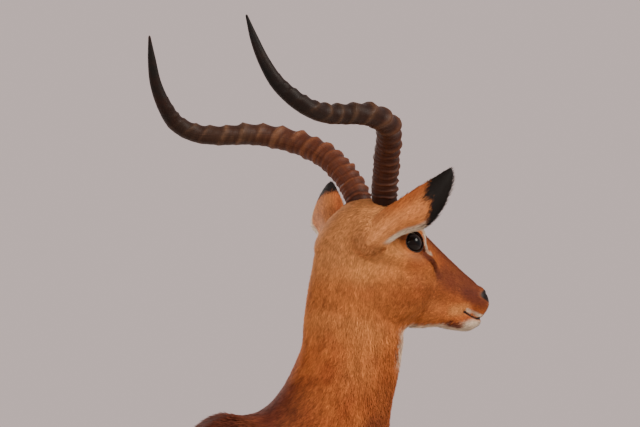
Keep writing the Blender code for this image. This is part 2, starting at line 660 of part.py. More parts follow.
def thinned(name, field, count):
    """The field's surface as a mesh of about count triangles."""
    points, quads = surface(field)
    obj = solid(name, points, quads)
    dec = obj.modifiers.new("thin", "DECIMATE")
    dec.ratio = count / (2 * len(quads))
    return baked(obj, name)


def region(name, planes, grow=0.0):
    """A block cut to shape by (point, outward normal) planes; grow moves each plane outward."""
    bm = bmesh.new()
    bmesh.ops.create_cube(bm, size=4.0)
    for point, normal in planes:
        normal = Vector(normal).normalized()
        cut = bmesh.ops.bisect_plane(
            bm, geom=bm.verts[:] + bm.edges[:] + bm.faces[:], plane_co=Vector(point) + normal * grow,
            plane_no=normal, clear_outer=True,
        )
        edges = [e for e in cut["geom_cut"] if isinstance(e, bmesh.types.BMEdge)]
        bmesh.ops.contextual_create(bm, geom=edges)
    bmesh.ops.recalc_face_normals(bm, faces=bm.faces[:])
    mesh = bpy.data.meshes.new(name)
    bm.to_mesh(mesh)
    bm.free()
    obj = link(name, mesh)
    obj.hide_render = True
    obj.display_type = "WIRE"
    return obj


def boolean(obj, cutter, operation):
    mod = obj.modifiers.new(cutter.name, "BOOLEAN")
    mod.operation, mod.object, mod.solver = operation, cutter, "EXACT"


def head_point(p):
    return HEAD_MATRIX @ Vector(p)


def head_way(v):
    return HEAD_MATRIX.to_3x3() @ Vector(v)


NECK_BASE = ((0.300, 0, 0.800), (-0.83, 0, -0.56))
HEAD_BASE = (head_point((0.015, 0, -0.130)), head_way((-0.275, 0, -0.96)))


def flipped(plane):
    return plane[0], -Vector(plane[1])


def leg_planes(end, s):
    if end == "front":
        return (
            ((0, 0.030 * s, 0.535), (0, -1.136 * s, 1)), ((0, 0.012 * s, 0), (0, -s, 0)),
            ((0.130, 0, 0), (-1, 0, 0)), ((0.370, 0, 0), (1, 0, 0)), ((0, 0, HOOF_TOP + GAP), (0, 0, -1)),
        )
    return (
        ((0, 0, 0.625), (0, -0.885 * s, 1)), ((0, 0.004 * s, 0), (0, -s, 0)),
        ((-0.180, 0, 0.620), (1, 0, 0.4)), ((-0.436, 0, 0.620), (-1, 0, 0.155)),
        ((0, 0, HOOF_TOP + GAP), (0, 0, -1)),
    )


TAIL_PLANES = (((-0.436, 0, 0), (1, 0, 0)), ((0, 0, 0.50), (0, 0, -1)))


# ---------------------------------------------------------------- assembly

def material(name, colour, roughness):
    made = bpy.data.materials.new(name)
    made.use_nodes = True
    shader = made.node_tree.nodes["Principled BSDF"]
    shader.inputs["Base Color"].default_value = (*colour, 1)
    shader.inputs["Roughness"].default_value = roughness
    return made


def finish(obj, paint):
    """Modifiers worked out, moved so that the origin is under the middle of the box, and painted."""
    name = obj.name
    mesh = baked(obj, name)
    mesh.transform(Matrix.Translation(-BOX_CENTRE))
    mesh.materials.clear()
    mesh.materials.append(paint)
    return link(name, mesh)


def main():
    for obj in list(bpy.data.objects):
        bpy.data.objects.remove(obj)
    coat = material("coat", (0.40, 0.16, 0.05), 0.8)
    pale = material("pale_coat", (0.70, 0.60, 0.48), 0.8)
    horn = material("horn", (0.09, 0.05, 0.03), 0.45)
    black = material("hoof", (0.02, 0.018, 0.016), 0.4)
    glossy = material("eye", (0.01, 0.008, 0.006), 0.08)

    body = thinned("body", filled(all_forms(), *BODY_BOX, BODY_VOXEL), BODY_TRIANGLES)
    top = thinned("top", filled(all_forms(), *HEAD_BOX, HEAD_VOXEL), HEAD_TRIANGLES)

    eyes, sockets = {}, {}
    for name, s in SIDES:
        for target, radius in ((eyes, EYE_RADIUS), (sockets, EYE_RADIUS + GAP)):
            bm = bmesh.new()
            bmesh.ops.create_uvsphere(bm, u_segments=12, v_segments=8, radius=radius)
            mesh = bpy.data.meshes.new("ball")
            bm.to_mesh(mesh)
            bm.free()
            turn = Matrix.Rotation(math.radians(-90 * s), 4, "X")
            place = Matrix.Translation((EYE_CENTRE[0], EYE_CENTRE[1] * s, EYE_CENTRE[2]))
            mesh.transform(HEAD_MATRIX @ place @ turn)
            target[name] = link(f"eye_{name}" if target is eyes else f"socket_{name}", mesh)
        sockets[name].hide_render = True

    legs = {(end, name): leg_planes(end, s) for end in ("front", "hind") for name, s in SIDES}

    trunk = link("trunk", body)
    boolean(trunk, region("trunk_room", [((0, 0, 0.45), (0, 0, -1))]), "INTERSECT")
    for cutter in [region("neck_space", [NECK_BASE], GAP), region("tail_space", TAIL_PLANES, GAP)]:
        boolean(trunk, cutter, "DIFFERENCE")
    neck = link("neck", body.copy())
    boolean(neck, region("neck_room", [NECK_BASE, flipped(HEAD_BASE)]), "INTERSECT")
    tail = link("tail", body.copy())
    boolean(tail, region("tail_room", TAIL_PLANES), "INTERSECT")
    coated = [trunk, neck, tail]
    for (end, name), planes in legs.items():
        boolean(trunk, region(f"{end}_{name}_space", planes, GAP), "DIFFERENCE")
        leg = link(f"{end}_leg_{name}", body.copy())
        boolean(leg, region(f"{end}_{name}_room", planes), "INTERSECT")
        coated.append(leg)

    head = link("head", top)
    boolean(head, region("head_room", [HEAD_BASE], -GAP), "INTERSECT")
    for name, _ in SIDES:
        boolean(head, sockets[name], "DIFFERENCE")
    coated.append(head)

    # Horns and ears end at the skin of the head, which a copy swollen by the gap cuts them back to.
    skin = link("skin_of_head", head.data.copy())
    for mod in head.modifiers:
        boolean(skin, mod.object, mod.operation)
    swell = skin.modifiers.new("gap", "DISPLACE")
    swell.strength, swell.mid_level = GAP, 0.0
    skin.hide_render = True
    horns = []
    for name, s in SIDES:
        ear = solid(f"ear_{name}", *ear_mesh(**EARS[name]))
        horn_obj = solid(f"horn_{name}", *horn_mesh(s))
        for obj in (ear, horn_obj):
            boolean(obj, skin, "DIFFERENCE")
        boolean(ear, horn_obj, "DIFFERENCE")
        coated.append(ear)
        horns.append(horn_obj)

    claws = []
    for end, table in (("front", FRONT_CORONET), ("hind", HIND_CORONET)):
        for name, s in SIDES:
            x, y = table
            for claw, side in SIDES:
                at = (x + LEG_REACH[end, name], y * s, HOOF_TOP)
                claws.append(solid(f"hoof_{end}_{name}_{claw}", *claw_mesh(at, side)))

    bpy.context.view_layer.update()
    for obj in coated:
        finish(obj, pale if obj is tail else coat)
    for group, paint in ((horns, horn), (eyes.values(), glossy), (claws, black)):
        for obj in group:
            finish(obj, paint)
    for obj in [o for o in bpy.data.objects if o.hide_render]:
        bpy.data.objects.remove(obj)


main()
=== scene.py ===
"""The look of a life-size adult male impala: one skin, a coat of solid tufts, horns, eyes and hooves.

The skin is drawn off the same smooth forms that give the solids, a coat's depth inside them.
Lengths are in metres in the frame's own axes: +X forward, +Y to the animal's left, +Z up.
"""

import math

import bpy
import numpy as np
from mathutils import Matrix, Vector


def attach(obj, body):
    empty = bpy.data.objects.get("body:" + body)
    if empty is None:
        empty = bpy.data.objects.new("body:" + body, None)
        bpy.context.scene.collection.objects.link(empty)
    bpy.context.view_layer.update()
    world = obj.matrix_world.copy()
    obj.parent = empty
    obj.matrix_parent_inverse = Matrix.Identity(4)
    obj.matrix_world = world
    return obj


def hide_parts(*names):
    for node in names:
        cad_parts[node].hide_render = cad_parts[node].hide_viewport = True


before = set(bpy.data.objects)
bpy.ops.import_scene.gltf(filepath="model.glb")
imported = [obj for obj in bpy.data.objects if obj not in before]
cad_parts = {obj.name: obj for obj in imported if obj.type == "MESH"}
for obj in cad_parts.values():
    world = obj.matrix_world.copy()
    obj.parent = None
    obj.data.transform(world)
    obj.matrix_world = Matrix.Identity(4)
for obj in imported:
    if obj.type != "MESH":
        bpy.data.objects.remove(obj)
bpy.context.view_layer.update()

# ---------------------------------------------------------------- driving dimensions, as in the solids

STERNUM_HEIGHT = 0.528
HEAD_YAW = math.radians(20)
HEAD_ROLL = math.radians(-4.9)
HEAD_PITCH = math.radians(30)
HEAD_ORIGIN = Vector((0.46, 0.03, 1.143))
BOX_CENTRE = Vector((0.0683, -0.018, 0.0))
HOOF_TOP = 0.0355
FRONT_CORONET = (0.262, 0.078)
HIND_CORONET = (-0.364, 0.082)
FAR = 0.06
HEAD_MATRIX = (
    Matrix.Translation(HEAD_ORIGIN) @ Matrix.Rotation(HEAD_YAW, 4, "Z")
    @ Matrix.Rotation(HEAD_ROLL, 4, "X")
)
SIDES = (("left", 1), ("right", -1))
SHIFT = -np.array(BOX_CENTRE)
HEAD_TURN = np.array(HEAD_MATRIX.to_3x3())
HEAD_PLACE = np.array(HEAD_MATRIX.translation)

BODY_VOXEL = 0.0052
HEAD_VOXEL = 0.0016
COARSE = 4
SEAM_HEIGHT = 1.0


# ---------------------------------------------------------------- camera, light and floor

VIEW_TURN = math.radians(10)
PICTURE_WIDTH = 0.9412
# How far the middle of the picture lies behind the head's origin and above it.
PICTURE_BACK, PICTURE_RISE = 0.1096, 0.0482
CAMERA_DISTANCE = 12.0
SENSOR = 36.0
SKY, SKY_STRENGTH = (0.62, 0.5, 0.48, 1), 1.08
# (name, place, size, power, colour) of each lamp; they all aim at the head.
LAMPS = (
    ("key", (3.7, -2.4, 4.0), 2.6, 305, (1.0, 0.93, 0.84)),
    ("fill", (-2.4, -3.2, 3.0), 3.0, 95, (1.0, 0.95, 0.88)),
    ("back", (-2.0, 3.6, 2.8), 2.4, 110, (1.0, 0.95, 0.9)),
)
FLOOR_RADIUS, FLOOR_SIDES = 3.2, 96
FLOOR_COLOUR, FLOOR_ROUGHNESS = (0.62, 0.59, 0.56, 1), 0.9


def linked(name, data):
    obj = bpy.data.objects.new(name, data)
    bpy.context.scene.collection.objects.link(obj)
    return obj


def add_camera():
    """A long lens at the height of the jaw, looking level from the animal's right and a little behind."""
    right = Vector((math.cos(VIEW_TURN), -math.sin(VIEW_TURN), 0))
    away = Vector((math.sin(VIEW_TURN), math.cos(VIEW_TURN), 0))
    middle = HEAD_ORIGIN + Vector(SHIFT) - right * PICTURE_BACK + Vector((0, 0, PICTURE_RISE))
    data = bpy.data.cameras.new("camera")
    data.sensor_width = SENSOR
    data.lens = SENSOR * CAMERA_DISTANCE / PICTURE_WIDTH
    data.clip_end = 200
    camera = linked("camera", data)
    camera.location = middle - away * CAMERA_DISTANCE
    camera.rotation_euler = (math.radians(90), 0, -VIEW_TURN)
    bpy.context.scene.camera = camera


def add_studio():
    world = bpy.data.worlds.new("studio")
    world.use_nodes = True
    sky = world.node_tree.nodes["Background"]
    sky.inputs["Color"].default_value = SKY
    sky.inputs["Strength"].default_value = SKY_STRENGTH
    bpy.context.scene.world = world
    for name, place, size, power, colour in LAMPS:
        data = bpy.data.lights.new(name, "AREA")
        data.shape, data.size, data.energy, data.color = "DISK", size, power, colour
        lamp = linked(name, data)
        lamp.location = place
        aim = HEAD_ORIGIN + Vector(SHIFT) - Vector(place)
        lamp.rotation_euler = aim.to_track_quat("-Z", "Y").to_euler()
    mesh = bpy.data.meshes.new("floor")
    turns = np.linspace(0, 2 * math.pi, FLOOR_SIDES, endpoint=False)
    mesh.from_pydata([(FLOOR_RADIUS * math.cos(a), FLOOR_RADIUS * math.sin(a), 0.0) for a in turns], [],
                     [tuple(range(FLOOR_SIDES))])
    floor = linked("floor", mesh)
    paint = bpy.data.materials.new("floor_paint")
    paint.use_nodes = True
    shader = paint.node_tree.nodes["Principled BSDF"]
    shader.inputs["Base Color"].default_value = FLOOR_COLOUR
    shader.inputs["Roughness"].default_value = FLOOR_ROUGHNESS
    mesh.materials.append(paint)


# ---------------------------------------------------------------- the smooth field

def unit(v):
    v = np.asarray(v, float)
    return v / np.linalg.norm(v)


def unit_rows(rows):
    return rows / np.linalg.norm(rows, axis=-1)[..., None]


def smooth_curve(knots, values, at):
    """Values along a smooth line through (knot, value) pairs; the values may be points."""
    knots, values = np.asarray(knots, float), np.asarray(values, float)
    slopes = np.gradient(values, knots, axis=0)
    i = np.clip(np.searchsorted(knots, at, side="right") - 1, 0, len(knots) - 2)
    h = knots[i + 1] - knots[i]
    t = np.clip((at - knots[i]) / h, 0, 1)
    if values.ndim > 1:
        h, t = h[:, None], t[:, None]
    return (
        (2 * t**3 - 3 * t**2 + 1) * values[i]
        + (t**3 - 2 * t**2 + t) * h * slopes[i]
        + (3 * t**2 - 2 * t**3) * values[i + 1]
        + (t**3 - t**2) * h * slopes[i + 1]
    )


def signed(offset, share):
    """How far a point lies outside a form, from its offset and its share of the radius."""
    return offset * (1 - 1 / np.maximum(share, 1e-4))


def parts_of(matrix):
    """(turn, move) of a placing matrix."""
    return np.array(matrix.to_3x3()), np.array(matrix.translation)


def reach_along(points):
    """How far each point lies along the line that joins them."""
    return np.r_[0, np.cumsum(np.linalg.norm(np.diff(points, axis=0), axis=1))]


BODY = Matrix.Identity(4)
CHUNK = 200_000


class Sweep:
    """A limb: stations (x, y, z, half width across, half depth) along a smooth line."""

    def __init__(self, stations, side=(0, 1, 0), side_end=None, cap=1.0, samples=40, matrix=BODY):
        rows = np.array(stations, float)
        reach = reach_along(rows[:, :3])
        along = np.linspace(0, reach[-1], samples)
        made = smooth_curve(reach, rows, along)
        centre, self.half = made[:, :3], made[:, 3:5]
        side = np.linspace(unit(side), unit(side if side_end is None else side_end), samples)
        turn, move = parts_of(matrix)
        self.tangent = unit_rows(np.gradient(centre, along, axis=0) @ turn.T)
        self.centre, side = centre @ turn.T + move, side @ turn.T
        self.side = unit_rows(side - self.tangent * (side * self.tangent).sum(1)[:, None])
        self.deep = np.cross(self.tangent, self.side)
        self.step, self.cap = along[1], cap
        reach = self.half.max(axis=1)[:, None]
        self.low, self.high = (self.centre - reach).min(axis=0), (self.centre + reach).max(axis=0)

    def nearest(self, p):
        """Which sample of the line lies nearest each point."""
        return ((p**2).sum(1)[:, None] - 2 * p @ self.centre.T + (self.centre**2).sum(1)).argmin(axis=1)

    def distance(self, points):
        found = np.empty(len(points), np.float32)
        for start in range(0, len(points), CHUNK):
            p = points[start:start + CHUNK]
            near = self.nearest(p)
            along = ((p - self.centre[near]) * self.tangent[near]).sum(1) / self.step
            place = np.clip(near + along, 0, len(self.centre) - 1)
            low = np.minimum(place.astype(int), len(self.centre) - 2)
            share = (place - low)[:, None]
            centre, half, side, deep, tangent = (
                rows[low] * (1 - share) + rows[low + 1] * share
                for rows in (self.centre, self.half, self.side, self.deep, self.tangent)
            )
            away = p - centre
            across = (away * side).sum(1) / half[:, 0]
            deep = (away * deep).sum(1) / half[:, 1]
            past = (away * tangent).sum(1) / (self.cap * half.min(axis=1))
            share = np.sqrt(across**2 + deep**2 + past**2)
            found[start:start + CHUNK] = signed(np.linalg.norm(away, axis=1), share)
        return found


class Loft:
    """A trunk or head: stations (place on the axis, top, bottom, half width) across one straight axis."""

    def __init__(self, stations, axis=(1, 0, 0), up=(0, 0, 1), cap=0.03, egg=0.0, power=2.0, matrix=BODY):
        rows = np.array(stations, float)
        rows = rows[rows[:, 0].argsort()]
        self.at = np.linspace(rows[0, 0], rows[-1, 0], 240)
        self.rows = smooth_curve(rows[:, 0], rows[:, 1:], self.at)
        turn, self.origin = parts_of(matrix)
        self.axis, self.up = turn @ unit(axis), turn @ unit(up)
        self.across = np.cross(self.up, self.axis)
        self.cap, self.egg, self.power = cap, egg, power
        corners = np.array([
            self.origin + self.axis * self.at[e] + self.up * v + self.across * w
            for e in (0, -1)
            for v in (self.rows[:, 0].max(), self.rows[:, 1].min())
            for w in (self.rows[:, 2].max(), -self.rows[:, 2].max())
        ])
        self.low, self.high = corners.min(axis=0) - cap, corners.max(axis=0) + cap

    def distance(self, points):
        away = points - self.origin
        along = away @ self.axis
        held = np.clip(along, self.at[0], self.at[-1])
        top, bottom, half = (np.interp(held, self.at, self.rows[:, i]) for i in range(3))
        tall = (top - bottom) / 2
        height = away @ self.up - (top + bottom) / 2
        across = away @ self.across
        rise = np.clip(height / tall, -1, 1)
        wide = half * (1 - self.egg * rise)
        past = (along - held) / self.cap
        ring = np.abs(across / wide) ** self.power + np.abs(height / tall) ** self.power
        ring = ring ** (2 / self.power)
        return signed(np.sqrt(across**2 + height**2 + (along - held) ** 2), np.sqrt(ring + past**2))


class Ball:
    """An egg of muscle or bone: centre, three radii, and the ways its first two radii point."""

    def __init__(self, centre, radii, along=(1, 0, 0), side=(0, 1, 0), matrix=BODY):
        first = unit(along)
        second = unit(np.asarray(side, float) - first * np.dot(first, side))
        turn, move = parts_of(matrix)
        self.axes = np.array([first, second, np.cross(first, second)]) @ turn.T
        self.centre, self.radii = turn @ np.array(centre, float) + move, np.array(radii, float)
        self.low, self.high = self.centre - self.radii.max(), self.centre + self.radii.max()

    def distance(self, points):
        away = points - self.centre
        return signed(np.linalg.norm(away, axis=1), np.linalg.norm(away @ self.axes.T / self.radii, axis=1))


def smooth_min(a, b, radius):
    share = np.clip(0.5 + 0.5 * (b - a) / radius, 0, 1)
    return b * (1 - share) + a * share - radius * share * (1 - share)


def field_at(points, forms, value=None, reach=0.004):
    """The field at points, with forms blended one after another onto value."""
    if value is None:
        value = np.full(len(points), FAR, np.float32)
    for form, radius, adds in forms:
        margin = radius + reach
        near = np.flatnonzero(((points > form.low - margin) & (points < form.high + margin)).all(axis=1))
        if len(near):
            new = form.distance(points[near])
            old = value[near]
            value[near] = smooth_min(old, new, radius) if adds else -smooth_min(-old, new, radius)
    return value


def spread(rows, axis, factor, count):
    """rows drawn out along one axis by straight lines between its samples."""
    at = np.arange(count) / factor
    low = np.minimum(at.astype(int), rows.shape[axis] - 2)
    share = (at - low).astype(np.float32).reshape([-1 if i == axis else 1 for i in range(3)])
    return np.take(rows, low, axis=axis) * (1 - share) + np.take(rows, low + 1, axis=axis) * share


def sampled(low, high, voxel, forms, details, inset):
    """(axes, values): the field sampled closely near its surface and roughly elsewhere."""
    low, high = np.array(low, float), np.array(high, float)
    rough = [np.arange(a, b + voxel * COARSE, voxel * COARSE) for a, b in zip(low, high)]
    shape = [len(a) for a in rough]
    grid = np.stack([g.ravel() for g in np.meshgrid(*rough, indexing="ij")], axis=1)
    value = field_at(grid, forms, reach=voxel * COARSE).reshape(shape)
    counts = [(n - 1) * COARSE for n in shape]
    for axis in range(3):
        value = spread(value, axis, COARSE, counts[axis])
    axes = [a + voxel * np.arange(n) for a, n in zip(low, counts)]
    near = np.argwhere(np.abs(value) < voxel * COARSE * 0.75 + 0.007)
    points = np.stack([axes[i][near[:, i]] for i in range(3)], axis=1)
    exact = field_at(points, forms) + inset(points)
    value[tuple(near.T)] = field_at(points, details, exact)
    return axes, value


def surface(axes, value):
    """(points, quads, cells) of the surface where the field is 0, one point in each cell that it crosses."""
    inside = value < 0
    shape = np.array(value.shape) - 1
    corners = [(i, j, k) for i in (0, 1) for j in (0, 1) for k in (0, 1)]
    count = np.zeros(shape, np.int8)
    for i, j, k in corners:
        count += inside[i:shape[0] + i, j:shape[1] + j, k:shape[2] + k]
    cells = np.argwhere((count > 0) & (count < 8))
    index = np.full(shape, -1, np.int32)
    index[tuple(cells.T)] = np.arange(len(cells))
    at_corner = np.stack([value[tuple((cells + c).T)] for c in corners], axis=1)
    total, crossings = np.zeros((len(cells), 3)), np.zeros(len(cells))
    for a, first in enumerate(corners):
        for b, second in enumerate(corners):
            if b <= a or sum(abs(x - y) for x, y in zip(first, second)) != 1:
                continue
            low, high = at_corner[:, a], at_corner[:, b]
            crossed = (low < 0) != (high < 0)
            share = np.where(crossed, low / np.where(crossed, low - high, 1), 0)[:, None]
            total += (np.array(first) * (1 - share) + np.array(second) * share) * crossed[:, None]
            crossings += crossed
    local = cells + total / crossings[:, None]
    points = np.stack([np.interp(local[:, i], np.arange(len(a)), a) for i, a in enumerate(axes)], axis=1)
    quads = []
    for axis in range(3):
        here = [slice(1, -1)] * 3
        ahead = list(here)
        here[axis], ahead[axis] = slice(0, -1), slice(1, None)
        low, high = inside[tuple(here)], inside[tuple(ahead)]
        u, v = (axis + 1) % 3, (axis + 2) % 3
        for crossed, flip in ((low & ~high, False), (~low & high, True)):
            at = np.argwhere(crossed) + 1
            at[:, axis] -= 1
            ring = []
            for du, dv in ((-1, -1), (0, -1), (0, 0), (-1, 0)):
                cell = at.copy()
                cell[:, u] += du
                cell[:, v] += dv
                ring.append(index[tuple(cell.T)])
            ring = np.stack(ring, axis=1)
            quads.append(ring[:, ::-1] if flip else ring)
    return points, np.concatenate(quads), cells


# ---------------------------------------------------------------- the animal's forms, as in the solids

HEAD_AXIS = (math.cos(HEAD_PITCH), 0, -math.sin(HEAD_PITCH))
HEAD_UP = (math.sin(HEAD_PITCH), 0, math.cos(HEAD_PITCH))
EYE_RADIUS = 0.0172
EYE_CENTRE = (0.0045, 0.0385, 0.001)
EYE_OUT = (0.13, 0.98, 0.1)
EAR_SHARES = (0.0, 0.12, 0.3, 0.48, 0.66, 0.82, 0.93, 0.985, 1.0)
EAR_WIDTHS = (0.78, 0.78, 0.84, 1.0, 0.87, 0.6, 0.36, 0.17, 0.06)
# How far the middle of the ear lies towards its rounder, lower edge, as a share of the width.
EAR_SAGS = (0, 0, 0.1, 0.42, 0.43, 0.34, 0.2, 0.08, 0)
EAR_HOLLOWS = (1.15, 1.15, 1.0, 0.75, 0.5, 0.3, 0.15, 0.06, 0.02)
EARS = {
    "right": dict(
        base=(-0.078, -0.054, 0.001), along=(0.12, -0.052, 0.107), back=(-0.2, -0.9, 0.1),
        length=0.169, width=0.029, hollow=0.02, sag=1,
    ),
    "left": dict(
        base=(-0.078, 0.05, 0.004), along=(0.066, 0.108, 0.106), back=(-0.65, -0.36, 0.48),
        length=0.167, width=0.029, hollow=0.018, sag=-0.6,
    ),
}


def trunk_forms():
    """(form, blend radius, adds) for the barrel, its spine, shoulders and haunches."""
    yield Loft(
        [
            (0.385, 0.77, 0.64, 0.045), (0.35, 0.83, 0.585, 0.082), (0.29, 0.868, 0.548, 0.1),
            (0.2, 0.882, STERNUM_HEIGHT, 0.116), (0.1, 0.862, 0.531, 0.13),
            (-0.02, 0.858, 0.546, 0.138), (-0.14, 0.862, 0.572, 0.136),
            (-0.24, 0.876, 0.602, 0.122), (-0.33, 0.884, 0.64, 0.104), (-0.385, 0.862, 0.69, 0.08),
        ],
        cap=0.035, egg=0.18, power=2.15,
    ), 0.01, True
    for _, s in SIDES:
        # Shoulder blade, from the withers down to the point of the shoulder, and the muscle behind it.
        yield Sweep(
            [(0.195, 0.028 * s, 0.88, 0.016, 0.03), (0.225, 0.066 * s, 0.82, 0.03, 0.056),
             (0.262, 0.092 * s, 0.74, 0.034, 0.066), (0.3, 0.096 * s, 0.672, 0.034, 0.05)],
        ), 0.03, True
        yield Ball((0.235, 0.088 * s, 0.64), (0.078, 0.04, 0.066), (0.8, 0, -0.6)), 0.035, True
        # Croup and thigh.
        yield Ball((-0.3, 0.062 * s, 0.8), (0.11, 0.058, 0.085), (1, 0, -0.15)), 0.04, True
        yield Ball((-0.318, 0.086 * s, 0.69), (0.098, 0.05, 0.135), (1, 0, 0.25)), 0.04, True
        yield Ball((-0.385, 0.058 * s, 0.735), (0.045, 0.046, 0.09), (1, 0, 0.1)), 0.03, True
        # Hip bone, and the fold of skin from flank to stifle.
        yield Ball((-0.245, 0.074 * s, 0.838), (0.034, 0.022, 0.018), (1, 0, 0.3)), 0.035, True
        yield Sweep(
            [(-0.17, 0.105 * s, 0.64, 0.02, 0.03), (-0.215, 0.108 * s, 0.61, 0.022, 0.04),
             (-0.245, 0.104 * s, 0.585, 0.022, 0.04)],
        ), 0.04, True
    # Withers and the ridge of the spine.
    yield Sweep(
        [(0.23, 0, 0.866, 0.022, 0.02), (0.198, 0, 0.877, 0.024, 0.021), (0.165, 0, 0.861, 0.022, 0.018)],
    ), 0.022, True
    # Brisket, and the sheath under the belly.
    yield Sweep(
        [(0.35, 0, 0.64, 0.034, 0.04), (0.29, 0, 0.575, 0.04, 0.03), (0.2, 0, 0.548, 0.045, 0.026)],
    ), 0.035, True
    yield Sweep(
        [
            (-0.18, 0, 0.582, 0.018, 0.016), (-0.12, 0, 0.562, 0.014, 0.014),
            (-0.085, 0, 0.555, 0.01, 0.012),
        ],
    ), 0.018, True
    # The hollow of the flank, and the groove between the buttocks.
    for _, s in SIDES:
        yield Ball((-0.19, 0.175 * s, 0.74), (0.055, 0.04, 0.08)), 0.045, False
        yield Ball((0.13, 0.165 * s, 0.585), (0.03, 0.03, 0.06), (1, 0, 0.5)), 0.03, False


def neck_forms():
    turned = (-math.sin(HEAD_YAW), math.cos(HEAD_YAW), 0.0)
    yield Sweep(
        [
            (0.276, 0.0, 0.74, 0.086, 0.114), (0.323, 0.0, 0.812, 0.076, 0.115),
            (0.351, 0.0, 0.872, 0.067, 0.098), (0.37, 0.001, 0.93, 0.06, 0.08),
            (0.386, 0.003, 0.985, 0.056, 0.075), (0.392, 0.006, 1.04, 0.054, 0.076),
            (0.397, 0.009, 1.095, 0.053, 0.073), (0.395, 0.01, 1.14, 0.051, 0.063),
        ],
        side_end=turned, samples=60, cap=0.8,
    ), 0.05, True
    # Windpipe ridge down the front of the throat.
    yield Sweep(
        [(0.452, 0.02, 1.035, 0.02, 0.02), (0.445, 0.012, 0.985, 0.019, 0.019),
         (0.431, 0.006, 0.93, 0.02, 0.02), (0.415, 0.0, 0.87, 0.022, 0.022)],
    ), 0.03, True


def head_forms():
    m = HEAD_MATRIX
    yield Loft(
        [
            (-0.088, 0.018, -0.05, 0.04), (-0.07, 0.034, -0.06, 0.048), (-0.05, 0.044, -0.065, 0.05),
            (-0.023, 0.048, -0.065, 0.048), (0.008, 0.045, -0.063, 0.044), (0.042, 0.038, -0.056, 0.036),
            (0.08, 0.0305, -0.046, 0.0285), (0.116, 0.024, -0.038, 0.0235), (0.145, 0.019, -0.031, 0.0215),
            (0.158, 0.0145, -0.026, 0.0195), (0.167, 0.006, -0.022, 0.015),
        ],
        axis=HEAD_AXIS, up=HEAD_UP, cap=0.006, egg=0.1, power=2.2, matrix=m,
    ), 0.02, True
    # Lower jaw, from the chin back to the angle below the ear.
    yield Sweep(
        [
            (0.131, 0, -0.1125, 0.012, 0.008), (0.119, 0, -0.1155, 0.0165, 0.011),
            (0.105, 0, -0.112, 0.0195, 0.014), (0.075, 0, -0.1015, 0.0225, 0.019),
            (0.04, 0, -0.0925, 0.03, 0.029), (0.005, 0, -0.08, 0.039, 0.04),
            (-0.03, 0, -0.065, 0.046, 0.05),
        ],
        matrix=m,
    ), 0.022, True
    # Cheek, filling the space between the jaws behind the corner of the mouth.
    yield Sweep(
        [
            (0.098, 0, -0.08, 0.0205, 0.016), (0.06, 0, -0.066, 0.0265, 0.022),
            (0.02, 0, -0.052, 0.037, 0.027),
        ],
        matrix=m,
    ), 0.022, True
    # Crown behind the horns, sloping into the nape.
    yield Ball((-0.062, 0, 0.027), (0.05, 0.046, 0.036), (1, 0, 0.35), matrix=m), 0.03, True
    # Upper lip pads and the bare nose.
    yield Ball((0.136, 0, -0.084), (0.017, 0.0225, 0.017), (0.8, 0, -0.6), matrix=m), 0.012, True
    for _, s in SIDES:
        yield Ball((-0.012, 0.034 * s, -0.06), (0.044, 0.017, 0.045), (0.9, 0, -0.45), matrix=m), 0.022, True
        yield Ball((0.134, 0.0115 * s, -0.0735), (0.012, 0.009, 0.011), matrix=m), 0.008, True
        # Orbit, brow and cheek bone.
        behind_eye = (EYE_CENTRE[0], (EYE_CENTRE[1] - 0.004) * s, EYE_CENTRE[2])
        yield Ball(behind_eye, (0.0195,) * 3, matrix=m), 0.014, True
        brow = (-0.004, 0.0385 * s, 0.0165)
        yield Ball(brow, (0.028, 0.012, 0.009), (1, 0.1 * s, 0), matrix=m), 0.018, True
        yield Sweep(
            [(0.038, 0.034 * s, -0.032, 0.008, 0.008), (0.005, 0.046 * s, -0.028, 0.007, 0.008),
             (-0.035, 0.049 * s, -0.014, 0.006, 0.008)],
            matrix=m,
        ), 0.02, True
        # Root of each horn under the skin, and of each ear.
        yield Ball((-0.033, 0.031 * s, 0.045), (0.025, 0.024, 0.021), matrix=m), 0.014, True
        yield Ball((-0.06, 0.046 * s, 0.012), (0.026, 0.017, 0.03), matrix=m), 0.018, True
        ear_root = (-0.075, 0.053 * s, 0.006)
        yield Ball(ear_root, (0.026, 0.019, 0.023), (0.7, 0.3 * s, 0.6), matrix=m), 0.011, True
    # The opening between the lids, down to the eyeball.
    for _, s in SIDES:
        out = unit((EYE_OUT[0], EYE_OUT[1] * s, EYE_OUT[2]))
        at = np.array((EYE_CENTRE[0], EYE_CENTRE[1] * s, EYE_CENTRE[2])) + out * 0.019
        slit = np.cross(out, (0.35, 0, -1)) * s
        yield Ball(at, (0.0175, 0.016, 0.015), slit, out, matrix=m), 0.004, False


